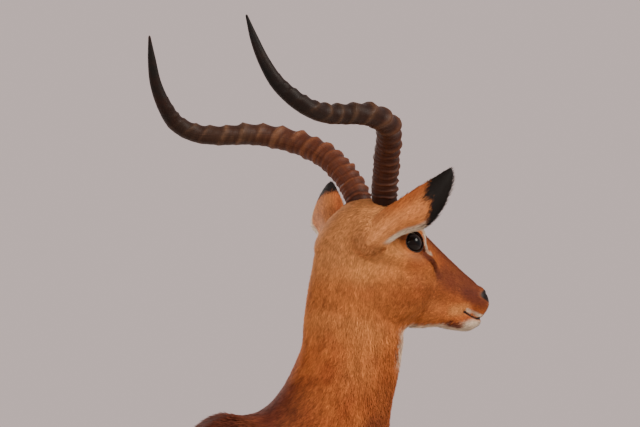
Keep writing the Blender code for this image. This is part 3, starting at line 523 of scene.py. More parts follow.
def front_leg_forms(s, forward):
    """One fore leg: upper arm, forearm, knee, cannon, fetlock and pastern. forward moves the foot along X."""
    y = 0.078 * s
    f = forward
    yield Sweep(
        [
            (0.3, 0.094 * s, 0.672, 0.03, 0.04), (0.25, 0.086 * s, 0.6, 0.034, 0.05),
            (0.222 + 0.05 * f, y, 0.53, 0.03, 0.041), (0.226 + 0.25 * f, y, 0.45, 0.0235, 0.029),
            (0.231 + 0.45 * f, y, 0.37, 0.0175, 0.0195), (0.234 + 0.56 * f, y, 0.325, 0.0185, 0.019),
            (0.235 + 0.62 * f, y, 0.3, 0.0185, 0.02), (0.233 + 0.67 * f, y, 0.276, 0.015, 0.016),
            (0.233 + 0.78 * f, y, 0.22, 0.0122, 0.0135), (0.235 + 0.92 * f, y, 0.14, 0.0122, 0.0138),
            (0.237 + 0.98 * f, y, 0.102, 0.0155, 0.0165), (0.24 + f, y, 0.084, 0.0165, 0.018),
            (0.25 + f, y, 0.058, 0.014, 0.015), (0.262 + f, y, 0.034, 0.017, 0.019),
        ],
        samples=90,
    ), 0.014, True
    # Point of the elbow, and the knob behind the knee.
    yield Ball((0.186, 0.074 * s, 0.548), (0.022, 0.016, 0.026)), 0.022, True
    yield Ball((0.222 + 0.62 * f, y, 0.306), (0.011, 0.01, 0.015)), 0.01, True
    yield Ball((0.226 + f, y, 0.082), (0.01, 0.012, 0.011)), 0.008, True


def hind_leg_forms(s, forward):
    """One hind leg: thigh, gaskin, hock, cannon, fetlock and pastern."""
    y = 0.082 * s
    f = forward
    yield Sweep(
        [
            (-0.3, 0.082 * s, 0.69, 0.046, 0.092), (-0.276, 0.092 * s, 0.612, 0.043, 0.078),
            (-0.288 + 0.15 * f, 0.089 * s, 0.545, 0.037, 0.059),
            (-0.322 + 0.3 * f, 0.085 * s, 0.475, 0.027, 0.04),
            (-0.362 + 0.45 * f, y, 0.415, 0.0185, 0.0255), (-0.386 + 0.55 * f, y, 0.372, 0.0185, 0.024),
            (-0.392 + 0.6 * f, y, 0.335, 0.017, 0.02), (-0.392 + 0.68 * f, y, 0.28, 0.0135, 0.0155),
            (-0.391 + 0.82 * f, y, 0.19, 0.0125, 0.0145), (-0.389 + 0.94 * f, y, 0.12, 0.0138, 0.0158),
            (-0.387 + f, y, 0.09, 0.0165, 0.018), (-0.377 + f, y, 0.06, 0.014, 0.015),
            (-0.364 + f, y, 0.034, 0.0165, 0.0185),
        ],
        samples=90,
    ), 0.016, True
    # Point of the hock with the tendon above it, and the glands behind the cannon.
    yield Sweep(
        [(-0.345 + 0.3 * f, y, 0.5, 0.01, 0.01), (-0.385 + 0.42 * f, y, 0.44, 0.008, 0.01),
         (-0.412 + 0.5 * f, y, 0.398, 0.011, 0.012), (-0.408 + 0.56 * f, y, 0.36, 0.01, 0.01)],
    ), 0.014, True
    yield Ball((-0.403 + 0.93 * f, y, 0.118), (0.01, 0.01, 0.02)), 0.01, True
    yield Ball((-0.401 + f, y, 0.09), (0.01, 0.012, 0.011)), 0.008, True


LEG_REACH = {
    ("front", "left"): 0.03, ("front", "right"): -0.012, ("hind", "left"): -0.03, ("hind", "right"): 0.022,
}


# ---------------------------------------------------------------- detail of the skin

EYE_OPENING = (0.0145, 0.0141)
EYE_SLIT = (0.8, 0, -0.6)
LID_DEPTH = 0.0016


def to_head(points):
    return (points - HEAD_PLACE) @ HEAD_TURN


def from_head(points):
    return np.asarray(points) @ HEAD_TURN.T + HEAD_PLACE


def eye_axes(s):
    """(centre, outward, along the slit, up across it) of one eye in the head's axes."""
    out = unit((EYE_OUT[0], EYE_OUT[1] * s, EYE_OUT[2]))
    along = np.array(EYE_SLIT) - out * np.dot(out, EYE_SLIT)
    along = unit(along)
    up = np.cross(along, out) * s
    return np.array((EYE_CENTRE[0], EYE_CENTRE[1] * s, EYE_CENTRE[2])), out, along, up


def lid_line(s, grow, radius, count=25):
    """Points round the opening of the lids, grow outside its edge, on a ball of that radius round the eye."""
    centre, out, along, up = eye_axes(s)
    turn = np.linspace(0, 2 * math.pi, count)
    a, b = EYE_OPENING[0] + grow, EYE_OPENING[1] + grow
    flat = np.outer(np.cos(turn) * a, along) + np.outer(np.sin(turn) * b * (1 - 0.12 * np.cos(turn)), up)
    depth = np.sqrt(np.maximum(radius**2 - (flat**2).sum(axis=1), 1e-6))
    return centre + flat + np.outer(depth, out)


def skin_forms():
    yield from trunk_forms()
    yield from neck_forms()
    for name, s in SIDES:
        yield from front_leg_forms(s, LEG_REACH["front", name])
        yield from hind_leg_forms(s, LEG_REACH["hind", name])
    # The tail's core, inside its brush.
    yield Sweep(
        [(-0.385, 0, 0.852, 0.02, 0.018), (-0.424, 0, 0.834, 0.013, 0.011), (-0.449, 0, 0.785, 0.009, 0.008),
         (-0.458, 0, 0.715, 0.008, 0.0075), (-0.46, 0, 0.65, 0.007, 0.0065), (-0.46, 0, 0.6, 0.005, 0.005)],
        samples=60,
    ), 0.012, True
    yield from head_forms()


EAR_CREASE = (
    (-0.103, 0.048, 0.015), (-0.096, 0.056, -0.008), (-0.082, 0.06, -0.019),
    (-0.064, 0.06, -0.017), (-0.052, 0.056, -0.005),
)
LIP_LINE = (
    (0.104, 0.02, -0.099), (0.116, 0.018, -0.104), (0.129, 0.013, -0.1085), (0.139, 0.0065, -0.108),
)
LIP_FRONT = (0.1425, 0, -0.107)
# Lines with their radii: the raised edge of the lids in front of the eye, the slot of the gland, the nostril,
# a comma that opens forward and outward, and the groove down the middle of the nose pad.
EYE_CORNER = (
    (0.0222, 0.0425, 0.0225, 0.0026), (0.0245, 0.0437, 0.0115, 0.003), (0.025, 0.044, 0.0005, 0.003),
    (0.0315, 0.0385, -0.0075, 0.0022),
)
GLAND_SLOT = (
    (0.0215, 0.042, -0.011, 0.0016), (0.033, 0.041, -0.023, 0.0024), (0.046, 0.037, -0.037, 0.0022),
)
NOSTRIL = (
    (0.152, 0.0065, -0.0765, 0.0022), (0.15, 0.012, -0.0735, 0.0032), (0.145, 0.0165, -0.0705, 0.0024),
    (0.14, 0.0185, -0.068, 0.0012),
)
NOSE_GROOVE = ((0.151, 0, -0.07, 0.0009), (0.154, 0, -0.08, 0.001), (0.151, 0, -0.096, 0.0009))


def thread(line, s=1, radius=None, side=(0, 1, 0), samples=30):
    """A round thread on the head through (x, y, z, radius) places, or through places that share one radius."""
    rows = line if radius is None else [(*p, radius) for p in line]
    return Sweep([(x, y * s, z, r, r) for x, y, z, r in rows], side, samples=samples, matrix=HEAD_MATRIX)


def skin_details():
    """Lids, folds, nostrils and mouth, cut or laid on after the skin is set in by the coat's depth."""
    m = HEAD_MATRIX
    for _, s in SIDES:
        centre, out, along, up = eye_axes(s)
        yield Ball(centre, (EYE_RADIUS + LID_DEPTH,) * 3, matrix=m), 0.006, True
        yield thread(EYE_CORNER, s), 0.004, True
        cut = (EYE_OPENING[0] + 0.003, EYE_OPENING[1] + 0.003, 0.015)
        yield Ball(centre + out * EYE_RADIUS, cut, along, up, matrix=m), 0.002, False
        ring = lid_line(s, 0.001, EYE_RADIUS + 0.0014)
        yield thread(ring, radius=0.0011, side=out, samples=90), 0.0025, True
        yield Ball(centre, (EYE_RADIUS + 0.0002,) * 3, matrix=m), 0.0006, False
        # Fold above the upper lid.
        fold = lid_line(s, 0.0062, EYE_RADIUS + 0.003)[3:12]
        yield thread(fold, radius=0.0011, side=out, samples=40), 0.003, False
        yield thread(GLAND_SLOT, s), 0.006, False
        yield thread(EAR_CREASE, s, 0.0012, samples=50), 0.004, False
        yield thread(NOSTRIL, s), 0.0022, False
    # Mouth, from one corner round the front to the other.
    line = [*LIP_LINE, LIP_FRONT, *((x, -y, z) for x, y, z in LIP_LINE[::-1])]
    yield Sweep([(*p, 0.0014, 0.0018) for p in line], side=(0, 0, 1), samples=120, matrix=m), 0.0025, False
    yield thread(NOSE_GROOVE, samples=20), 0.002, False


# Depth of the coat by height up the body, and over the head from nose to nape.
DEPTH_HEIGHTS = (0.03, 0.12, 0.35, 0.5, 0.62, 0.9)
DEPTH_BODY = (0.0012, 0.0018, 0.0022, 0.0035, 0.005, 0.005)
DEPTH_HEAD_AT = (-0.14, -0.06, 0.02, 0.09, 0.13)
DEPTH_HEAD = (0.0045, 0.003, 0.002, 0.0014, 0.0008)


def coat_depth(points):
    """How deep the coat is over the skin at each point."""
    depth = np.interp(points[:, 2], DEPTH_HEIGHTS, DEPTH_BODY)
    local = to_head(points)
    forward, height = local[:, 0], points[:, 2]
    on_head = np.interp(height, (1.02, 1.06), (0, 1)) * np.interp(forward, (-0.1, -0.06), (0, 1))
    on_head = np.maximum(on_head, np.interp(forward, (0.02, 0.03), (0, 1)) * (height > 0.98))
    return (depth * (1 - on_head) + np.interp(forward, DEPTH_HEAD_AT, DEPTH_HEAD) * on_head).astype(np.float32)


def rim(points, quads, height):
    """The open edge of quads nearest a height, as its points in order round it and the turn of each."""
    first, second = quads.ravel(), np.roll(quads, -1, axis=1).ravel()
    count = len(points)
    open_edge = ~np.isin(first * count + second, second * count + first)
    follow = dict(zip(first[open_edge].tolist(), second[open_edge].tolist()))
    ring = [min(follow, key=lambda p: abs(points[p, 2] - height))]
    while follow[ring[-1]] != ring[0]:
        ring.append(follow[ring[-1]])

    def turns_of(ring):
        away = points[ring, :2] - points[ring, :2].mean(axis=0)
        return np.arctan2(away[:, 1], away[:, 0])

    ring = np.array(ring)
    turns = np.unwrap(turns_of(ring))
    if turns[-1] < turns[0]:
        ring, turns = ring[::-1], turns[::-1]
    ring = np.roll(ring, -np.argmin(turns % (2 * math.pi)))
    return ring, np.unwrap(turns_of(ring) % (2 * math.pi))


def zipped(lower, lower_turns, upper, upper_turns):
    """Triangles that join two loops round the same middle, walking whichever is behind."""
    faces = []
    i = j = 0
    n, m = len(lower), len(upper)
    while i < n or j < m:
        next_low = lower_turns[(i + 1) % n] + 2 * math.pi * ((i + 1) // n)
        next_high = upper_turns[(j + 1) % m] + 2 * math.pi * ((j + 1) // m)
        if j >= m or (i < n and next_low < next_high):
            faces.append((lower[i % n], lower[(i + 1) % n], upper[j % m]))
            i += 1
        else:
            faces.append((lower[i % n], upper[(j + 1) % m], upper[j % m]))
            j += 1
    return np.array(faces)


def compact(points, faces_list):
    """points and faces without the points that no face uses."""
    used = np.unique(np.concatenate([f.ravel() for f in faces_list]))
    renumber = np.full(len(points), -1, np.int64)
    renumber[used] = np.arange(len(used))
    return points[used], [renumber[f] for f in faces_list]


# The boxes in which the body and the head are sampled.
BODY_BOX = (-0.5, -0.2, 0.006), (0.54, 0.2, SEAM_HEIGHT + 0.03)
HEAD_BOX = (0.27, -0.13, SEAM_HEIGHT - 0.02), (0.64, 0.19, 1.26)


def flesh_skin():
    """(points, quads, triangles) of the skin without its ears: a body joined to a finer head."""
    forms = list(skin_forms())
    body_axes, value = sampled(*BODY_BOX, BODY_VOXEL, forms, [], coat_depth)
    body_points, body_quads, body_cells = surface(body_axes, value)
    head_axes, value = sampled(*HEAD_BOX, HEAD_VOXEL, forms, list(skin_details()), coat_depth)
    head_points, head_quads, head_cells = surface(head_axes, value)
    low_layer = int((SEAM_HEIGHT - body_axes[2][0]) / BODY_VOXEL) - 1
    high_layer = int(math.ceil((SEAM_HEIGHT + 0.001 - head_axes[2][0]) / HEAD_VOXEL))
    body_quads = body_quads[(body_cells[body_quads, 2] <= low_layer).all(axis=1)]
    head_quads = head_quads[(head_cells[head_quads, 2] >= high_layer).all(axis=1)]
    lower, lower_turns = rim(body_points, body_quads, SEAM_HEIGHT)
    upper, upper_turns = rim(head_points, head_quads, SEAM_HEIGHT)
    seam = zipped(lower, lower_turns, upper + len(body_points), upper_turns)
    points = np.concatenate([body_points, head_points])
    points, (quads, seam) = compact(points, [np.concatenate([body_quads, head_quads + len(body_points)]), seam])
    return points, quads, seam


# ---------------------------------------------------------------- ears

def tube_faces(rings, sides):
    """Quads of a tube of points, ring after ring."""
    i, j = (g.ravel() for g in np.meshgrid(np.arange(rings - 1), np.arange(sides), indexing="ij"))
    k = (j + 1) % sides
    return np.stack([i * sides + j, i * sides + k, (i + 1) * sides + k, (i + 1) * sides + j], axis=1)


EAR_ROWS, EAR_COLUMNS = 44, 25
EAR_SKIN = 0.0026
EAR_ROOT = 0.03


def ear_shell(base, along, back, length, width, hollow, sag):
    """(points, quads, share along, place across from -1 to 1, whether outside) of an ear inside its solid."""
    along = unit(along)
    back = unit(np.array(back) - along * np.dot(along, back))
    across = np.cross(along, back)
    ratios = np.sin(np.linspace(-math.pi / 2, math.pi / 2, EAR_COLUMNS))
    shares = np.sin(np.linspace(-EAR_ROOT, math.pi / 2, EAR_ROWS))
    wide = smooth_curve(EAR_SHARES, EAR_WIDTHS, shares) * np.interp(shares, (-EAR_ROOT, 0), (0.55, 1))
    deep = smooth_curve(EAR_SHARES, EAR_HOLLOWS, shares)
    low = smooth_curve(EAR_SHARES, EAR_SAGS, shares) * sag * width
    rows, places, sides = [], [], []
    for share, w, d, aside in zip(shares, wide, deep, low):
        thick = EAR_SKIN * (1.2 - 0.5 * share) * min(1, 2 * w) * np.sqrt(np.cos(ratios * math.pi / 2))
        line = np.array(base) + along * share * (length - 0.003)
        line = line + np.outer(ratios * (width * w - 0.0012) + aside, across)
        sheet = hollow * d * (0.65 - ratios**2)
        outer, inner = (line + np.outer(sheet + side * thick, back) for side in (1, -1))
        rows.append(np.concatenate([outer, inner[-2:0:-1]]))
        places.append(np.r_[ratios, ratios[-2:0:-1]])
        sides.append(np.r_[np.ones(EAR_COLUMNS), np.zeros(EAR_COLUMNS - 2)])
    n = len(rows[0])
    points = from_head(np.concatenate(rows))
    places, sides = np.concatenate(places), np.concatenate(sides)
    return points, tube_faces(EAR_ROWS, n), np.repeat(shares, n), places, sides


# ---------------------------------------------------------------- markings

TONES = ("dark", "fawn", "white", "black", "bare")


def soft(value, low, high):
    """0 below low and 1 above high, or the reverse where low is the greater, with a smooth change between."""
    share = np.clip((value - low) / (high - low), 0, 1)
    return share * share * (3 - 2 * share)


def spot(points, centre, radii, edge=0.25):
    """1 inside an egg round centre and 0 outside it."""
    return soft(np.linalg.norm((points - centre) / radii, axis=1), 1 + edge, 1 - edge)


def streak(points, start, end, radius, edge=0.35):
    """1 near the line from start to end and 0 away from it."""
    start, line = np.array(start), np.array(end) - start
    share = np.clip((points - start) @ line / line.dot(line), 0, 1)
    apart = np.linalg.norm(points - start - share[:, None] * line, axis=1)
    return soft(apart / radius, 1 + edge, 1 - edge)


def behind(points, plane):
    """How far points lie inside a plane given as (point, outward normal)."""
    return -(points - np.array(plane[0])) @ unit(plane[1])


NECK_BASE = ((0.3, 0, 0.8), (-0.83, 0, -0.56))
HEAD_BASE = (from_head((0.015, 0, -0.13)), HEAD_TURN @ np.array((-0.275, 0, -0.96)))


def head_share(points):
    return soft(behind(points, HEAD_BASE), -0.012, 0.012) * soft(points[:, 2], 0.96, 0.99)


def gland_place(name, s):
    return np.array((-0.405 + 0.93 * LEG_REACH["hind", name], HIND_CORONET[1] * s, 0.12))


def marks_along(tone, strength, line, radius, edge):
    """One streak for each stretch of a line."""
    return tuple((tone, strength, start, end, radius, edge) for start, end in zip(line, line[1:]))


# The white line in front of the eye, and on down beside the slot of the gland.
EYE_FRONT = (
    (0.0225, 0.044, 0.0235), (0.0256, 0.045, 0.012), (0.0262, 0.0452, 0.0005), (0.0325, 0.0388, -0.007),
    (0.045, 0.0312, -0.015),
)
UPPER_LIP = (
    (0.109, 0.019, -0.0965), (0.122, 0.017, -0.101), (0.134, 0.013, -0.1045), (0.143, 0.006, -0.1035),
)
GLAND_RADII = (0.017, 0.017, 0.03)
# Marks on both sides of the head, laid over one another in this order: a spot is (tone, strength, centre, radii,
# edge), and a streak is (tone, strength, start, end, radius, edge).
HEAD_MARKS = (
    # Cheek, root of the ear, white edge of the jaw and chin.
    ("dark", 0.26, (0.0, 0.04, -0.07), (0.06, 0.03, 0.03), 0.6),
    ("fawn", 0.6, (-0.078, 0.05, -0.03), (0.026, 0.03, 0.026), 0.6),
    ("fawn", 0.85, (-0.082, 0.058, 0.004), (0.024, 0.034, 0.026), 0.4),
    ("dark", 0.24, (-0.082, 0.058, 0.002), (0.022, 0.034, 0.024), 0.5),
    ("white", 0.04, (-0.082, 0.058, 0.002), (0.022, 0.034, 0.024), 0.5),
    ("white", 0.9, (-0.035, 0, -0.128), (0.1, 0, -0.132), 0.02, 0.2),
    ("white", 0.9, (0.119, 0, -0.1195), (0.027, 0.026, 0.011), 0.3),
    ("fawn", 0.25, (0.02, 0.04, -0.048), (0.05, 0.02, 0.018), 0.6),
    ("dark", 0.32, (0.06, 0.03, -0.07), (0.04, 0.024, 0.016), 0.6),
    # Dark bridge of the nose and forehead, and the dark band round the muzzle.
    ("dark", 0.84, (-0.01, 0, 0.055), (0.142, 0, -0.048), 0.028, 0.45),
    ("dark", 0.72, (0.07, 0.026, -0.046), (0.122, 0.02, -0.068), 0.017, 0.7),
    ("dark", 0.8, (0.108, 0.022, -0.073), (0.135, 0.018, -0.085), 0.011, 0.6),
    ("fawn", 0.8, (0.084, 0.022, -0.096), (0.106, 0.02, -0.095), 0.0075, 0.8),
    *marks_along("white", 0.75, UPPER_LIP, 0.003, 0.5),
    ("dark", 0.95, (0.084, 0.017, -0.116), (0.099, 0.014, -0.12), 0.006, 0.5),
    # Round the eye: fawn brow and temple, dark corner, white line with a dark streak under it.
    ("fawn", 0.55, (0.004, 0.04, 0.022), (0.028, 0.02, 0.01), 0.5),
    ("fawn", 0.45, (-0.04, 0.046, 0.0), (0.024, 0.02, 0.02), 0.5),
    ("fawn", 0.32, (0.008, 0.045, -0.0205), (0.022, 0.016, 0.008), 0.4),
    ("white", 0.06, (0.01, 0.045, -0.018), (0.018, 0.016, 0.005), 0.4),
    ("dark", 0.24, (0.008, 0.045, -0.024), (0.024, 0.016, 0.01), 0.5),
    ("dark", 0.8, (-0.012, 0.05, 0.01), (-0.026, 0.05, 0.014), 0.006, 0.35),
    ("dark", 0.85, (0.03, 0.04, -0.01), (0.057, 0.033, -0.046), 0.0075, 0.6),
    *marks_along("white", 0.95, EYE_FRONT, 0.0031, 0.4),
    # Painted shade along the crease below the root of the ear.
    *marks_along("dark", 0.45, EAR_CREASE, 0.0045, 0.7),
)


def coat_tones(points, normals):
    """The share of each tone at each point; what is left over is the rufous of the flanks and face."""
    found = {name: np.zeros(len(points)) for name in TONES}

    def paint(tone, weight):
        for name in TONES:
            found[name] *= 1 - weight
        if tone in found:
            found[tone] += weight

    x, y, z = points.T
    side = np.abs(y)
    down, inward = -normals[:, 2], -normals[:, 1] * np.sign(y)
    mirrored = np.stack([x, side, z], axis=1)
    # Tan flank under the saddle's even lower edge, white belly, and fawn limbs that are paler inside.
    saddle = np.interp(x, (-0.42, -0.25, 0.0, 0.2, 0.3), (0.74, 0.715, 0.705, 0.7, 0.715))
    paint("fawn", 0.85 * soft(z, saddle + 0.012, saddle - 0.012))
    paint("dark", 0.92 * soft(z, 0.8, 0.88) * soft(x, 0.34, 0.24))
    paint("rufous", 0.22 * soft(z, 0.56, 0.4))
    paint("white", 0.08 * soft(z, 0.4, 0.2))
    belly = np.interp(x, (-0.3, -0.16, 0.05, 0.18, 0.3), (0.63, 0.608, 0.585, 0.56, 0.56))
    between_legs = np.maximum(soft(x, 0.14, 0.11), soft(side, 0.055, 0.035)) * soft(x, -0.3, -0.26)
    paint("white", soft(z, belly + 0.01, belly - 0.006) * soft(z, 0.46, 0.5) * between_legs)
    paint("white", soft(inward, 0.15, 0.55) * soft(z, 0.3, 0.4) * soft(z, 0.68, 0.62))
    paint("white", soft(down, 0.55, 0.8) * soft(z, 0.45, 0.5) * soft(z, 0.68, 0.64))
    # White rump between two black stripes, and a black line down the tail.
    rump = soft(x, -0.375, -0.395) * soft(side, 0.062, 0.05)
    paint("white", rump * soft(z, 0.53, 0.57) * soft(z, 0.85, 0.825))
    paint("black", streak(mirrored, (-0.44, 0.06, 0.8), (-0.395, 0.078, 0.64), 0.0125) * soft(x, -0.35, -0.38))
    paint("white", soft(x, -0.43, -0.44) * soft(z, 0.862, 0.84) * soft(side, 0.03, 0.024))
    stripe = soft(x, -0.428, -0.434) * soft(side, 0.0085, 0.005)
    paint("black", stripe * soft(z, 0.5, 0.6) * soft(z, 0.875, 0.85))
    # Black gland tufts behind the hind cannons, and a darker band above the hooves.
    for name, s in SIDES:
        paint("black", spot(points, gland_place(name, s), GLAND_RADII))
    paint("dark", 0.6 * soft(z, 0.065, 0.05))
    # Neck: darker along the nape, with painted shade low on the nape and down the front of its root, and paler
    # up its middle with a painted highlight; ahead is how far a point lies in front of the neck's middle line.
    ahead = x - np.interp(z, (0.74, 0.81, 0.87, 0.93, 1.04, 1.14), (0.276, 0.323, 0.351, 0.37, 0.392, 0.395))
    band = np.interp(z, (0.88, 0.93, 0.98), (0.28, 0.303, 0.312))
    on_neck = soft(behind(points, NECK_BASE), -0.03, 0.03)
    paint("rufous", on_neck * soft(z, 0.62, 0.72))
    # Painted shade: the lower nape darker, on the side of the neck turned from the light.
    paint("dark", on_neck * 0.6 * soft(ahead, 0.0, -0.06) * soft(z, 0.98, 0.9))
    paint("dark", on_neck * 0.9 * soft(x - band, 0.02, -0.02) * soft(z, 1.0, 0.94))
    # Painted shade down the front of the neck's root, in the groove before the shoulder.
    paint("dark", on_neck * 0.56 * soft(ahead, 0.01, 0.055) * soft(z, 0.915, 0.875) * soft(z, 0.68, 0.87))
    paint("dark", on_neck * 0.45 * soft(ahead, 0.03, 0.06) * soft(z, 0.99, 0.93))
    # Painted highlight: a paler band up the middle of the neck's side, where the light falls on its round.
    paint("fawn", on_neck * 0.3 * soft(ahead, -0.03, 0.01) * soft(ahead, 0.06, 0.03) * soft(z, 0.9, 0.98))
    paint("fawn", on_neck * 0.55 * soft(z, 0.98, 1.06))
    # Painted shade: a black share over the top of the withers, darkening them against the light from above.
    withers = soft(z, 0.84, 0.876) * soft(z, 0.925, 0.895) * soft(x, 0.27, 0.22) * soft(x, 0.08, 0.14)
    found["black"] += 0.32 * withers
    paint("white", on_neck * soft(z, 0.62, 0.6) * soft(down, 0.2, 0.6))

    local = to_head(points)
    forward, out, up = local[:, 0], np.abs(local[:, 1]), local[:, 2]
    local = np.stack([forward, out, up], axis=1)
    on_head = head_share(points)
    # White throat, and a head that is paler towards the nape, its crown paler still with painted light.
    paint("white", soft(ahead, 0.073, 0.081) * soft(z, 0.96, 0.99) * soft(up, -0.085, -0.105) * 0.8)
    paint("rufous", on_head)
    paint("fawn", on_head * 0.28 * soft(forward, 0.01, -0.06))
    # Painted light over some of the crown's own fawn: the back of the head paler on top, where the light falls
    # on it.
    paint("fawn", on_head * 0.75 * soft(forward, 0.01, -0.03) * soft(up, -0.07, -0.01))
    paint("fawn", on_head * 0.25 * spot(local, (0.03, 0.03, -0.095), (0.06, 0.03, 0.022), 0.6))
    paint("white", on_head * 0.04 * soft(forward, -0.02, -0.06) * soft(up, -0.06, 0.0))
    for tone, strength, *mark in HEAD_MARKS:
        paint(tone, on_head * strength * (streak if len(mark) == 4 else spot)(local, *mark))
    # Bare edges of the lids, bare nose and the line of the mouth.
    for _, s in SIDES:
        ring = lid_line(s, 0.0008, EYE_RADIUS + 0.002, 49)
        apart = np.min([np.linalg.norm(to_head(points) - p, axis=1) for p in ring], axis=0)
        paint("bare", on_head * soft(apart, 0.0023, 0.0015))
    paint("white", on_head * 0.4 * spot(local, (0.154, 0, -0.078), (0.017, 0.022, 0.018)))
    paint("bare", on_head * spot(local, (0.15, 0, -0.075), (0.0275, 0.034, 0.012), 0.1))
    lip = np.interp(forward, (0.104, 0.116, 0.129, 0.142), (-0.099, -0.104, -0.1085, -0.107))
    paint("bare", on_head * soft(np.abs(up - lip), 0.0026, 0.0012) * soft(forward, 0.098, 0.103))
    return found


def ear_tones(share, across, outside, lean):
    """Tones on an ear. across runs from its upper edge, -1, to its lower, 1; lean slants the black tip."""
    found = {name: np.zeros(len(share)) for name in TONES}
    edge = 0.8 - lean * np.interp(across, (-1, -0.6, -0.3, 0.15, 0.5, 1), (0.05, 0.12, 0.2, 0.17, 0.24, 0.38))
    tip = soft(share - edge, -0.045, 0.045)
    rim_white = outside * soft(across, 0.8 - 0.18 * lean, 0.94 - 0.1 * lean)
    rim_white = rim_white * (1 - tip) * soft(share, 0.05, 0.15)
    back = outside * (1 - tip) * (1 - rim_white)
    root = soft(share, 0.42, 0.08)
    found["fawn"] = back * (0.46 * soft(across, -0.9, -0.2) * (1 - root) + 0.66 * root)
    found["dark"] = back * (0.18 + 0.12 * root)
    inner_tip = 0.8 * soft(share, 0.86, 0.96)
    found["black"] = outside * tip + (1 - outside) * inner_tip
    found["white"] = rim_white + back * 0.03 * root + (1 - outside) * (1 - inner_tip) * soft(share, 0.04, 0.16)
    return found


# ---------------------------------------------------------------- the lie of the coat

# (place, way the coat lies, reach); the first table is in the body's axes and the second in the head's.
# Each row stands for both sides of the animal.
BODY_LIE = (
    ((0.45, 0.0, 1.0), (-0.1, 0.0, -1.0), 0.05), ((0.44, 0.0, 0.9), (-0.15, 0.0, -1.0), 0.05),
    ((0.39, 0.05, 1.08), (-0.2, 0.0, -1.0), 0.06), ((0.39, 0.06, 0.98), (-0.25, 0.0, -1.0), 0.06),
    ((0.33, 0.0, 1.06), (-0.35, 0.0, -1.0), 0.06), ((0.3, 0.0, 0.95), (-0.55, 0.0, -0.85), 0.06),
    ((0.35, 0.07, 0.86), (-0.45, 0.05, -0.9), 0.07), ((0.26, 0.04, 0.89), (-0.85, 0.05, -0.45), 0.06),
    ((0.39, 0.0, 0.78), (-0.1, 0.1, -1.0), 0.06), ((0.36, 0.02, 0.66), (-0.45, 0.1, -0.9), 0.07),
    ((0.2, 0.02, 0.88), (-1.0, 0.05, -0.1), 0.08), ((0.25, 0.09, 0.78), (-0.75, 0.0, -0.65), 0.08),
    ((0.26, 0.1, 0.68), (-0.5, 0.0, -0.9), 0.07), ((0.18, 0.08, 0.56), (-0.75, 0.0, -0.65), 0.05),
    ((0.05, 0.0, 0.86), (-1.0, 0.1, 0.0), 0.12), ((-0.15, 0.0, 0.86), (-1.0, 0.1, 0.0), 0.12),
    ((0.05, 0.12, 0.76), (-1.0, 0.0, -0.3), 0.1), ((-0.12, 0.13, 0.74), (-1.0, 0.0, -0.28), 0.1),
    ((0.06, 0.12, 0.64), (-1.0, 0.0, -0.4), 0.09), ((-0.11, 0.12, 0.65), (-1.0, 0.0, -0.3), 0.08),
    ((0.05, 0.0, 0.545), (-1.0, 0.0, 0.0), 0.1), ((-0.12, 0.0, 0.57), (-1.0, 0.0, 0.1), 0.1),
    ((-0.3, 0.0, 0.89), (-1.0, 0.15, -0.15), 0.08), ((-0.29, 0.1, 0.79), (-0.7, 0.0, -0.7), 0.08),
    ((-0.32, 0.12, 0.68), (-0.35, 0.0, -1.0), 0.08), ((-0.22, 0.1, 0.61), (-0.5, 0.0, -0.9), 0.05),
    ((-0.4, 0.06, 0.76), (-0.2, 0.1, -1.0), 0.05), ((-0.38, 0.08, 0.62), (0.05, 0.0, -1.0), 0.06),
    ((0.235, 0.08, 0.46), (-0.15, 0.0, -1.0), 0.08), ((0.235, 0.08, 0.25), (0.0, 0.0, -1.0), 0.12),
    ((0.245, 0.08, 0.06), (0.3, 0.0, -1.0), 0.05), ((-0.29, 0.09, 0.52), (-0.4, 0.0, -1.0), 0.07),
    ((-0.38, 0.08, 0.38), (-0.2, 0.0, -1.0), 0.08), ((-0.39, 0.08, 0.2), (0.0, 0.0, -1.0), 0.1),
    ((-0.375, 0.08, 0.06), (0.35, 0.0, -1.0), 0.05), ((-0.455, 0.0, 0.78), (-0.15, 0.0, -1.0), 0.03),
    ((-0.46, 0.0, 0.66), (0.0, 0.0, -1.0), 0.05),
)
HEAD_LIE = (
    ((0.145, 0.01, -0.07), (-0.9, 0.25, 0.45), 0.014), ((0.12, 0.02, -0.07), (-0.95, 0.1, 0.2), 0.02),
    ((0.12, 0.015, -0.105), (-1.0, 0.1, -0.1), 0.018), ((0.12, 0.0, -0.04), (-0.86, 0.0, 0.5), 0.025),
    ((0.07, 0.0, -0.005), (-0.86, 0.0, 0.5), 0.028), ((0.07, 0.03, -0.04), (-0.95, 0.05, 0.1), 0.028),
    ((0.07, 0.02, -0.1), (-1.0, 0.1, -0.15), 0.028), ((0.03, 0.0, 0.03), (-0.9, 0.0, 0.4), 0.024),
    ((0.028, 0.036, 0.006), (-0.75, 0.3, 0.65), 0.012), ((0.002, 0.038, 0.026), (-1.0, 0.1, 0.05), 0.014),
    ((0.004, 0.044, -0.026), (-1.0, 0.1, -0.1), 0.016), ((0.02, 0.036, -0.075), (-1.0, 0.0, -0.35), 0.028),
    ((-0.035, 0.048, -0.01), (-1.0, 0.1, -0.25), 0.022), ((-0.04, 0.045, -0.06), (-0.75, 0.1, -0.75), 0.03),
    ((-0.02, 0.0, 0.055), (-1.0, 0.1, 0.1), 0.022), ((-0.08, 0.01, 0.04), (-0.8, 0.0, -0.5), 0.026),
    ((-0.105, 0.015, 0.0), (-0.4, 0.0, -1.0), 0.03), ((-0.07, 0.05, -0.03), (-0.55, 0.0, -0.9), 0.024),
    ((-0.02, 0.015, -0.118), (-0.7, 0.0, -0.6), 0.028),
)


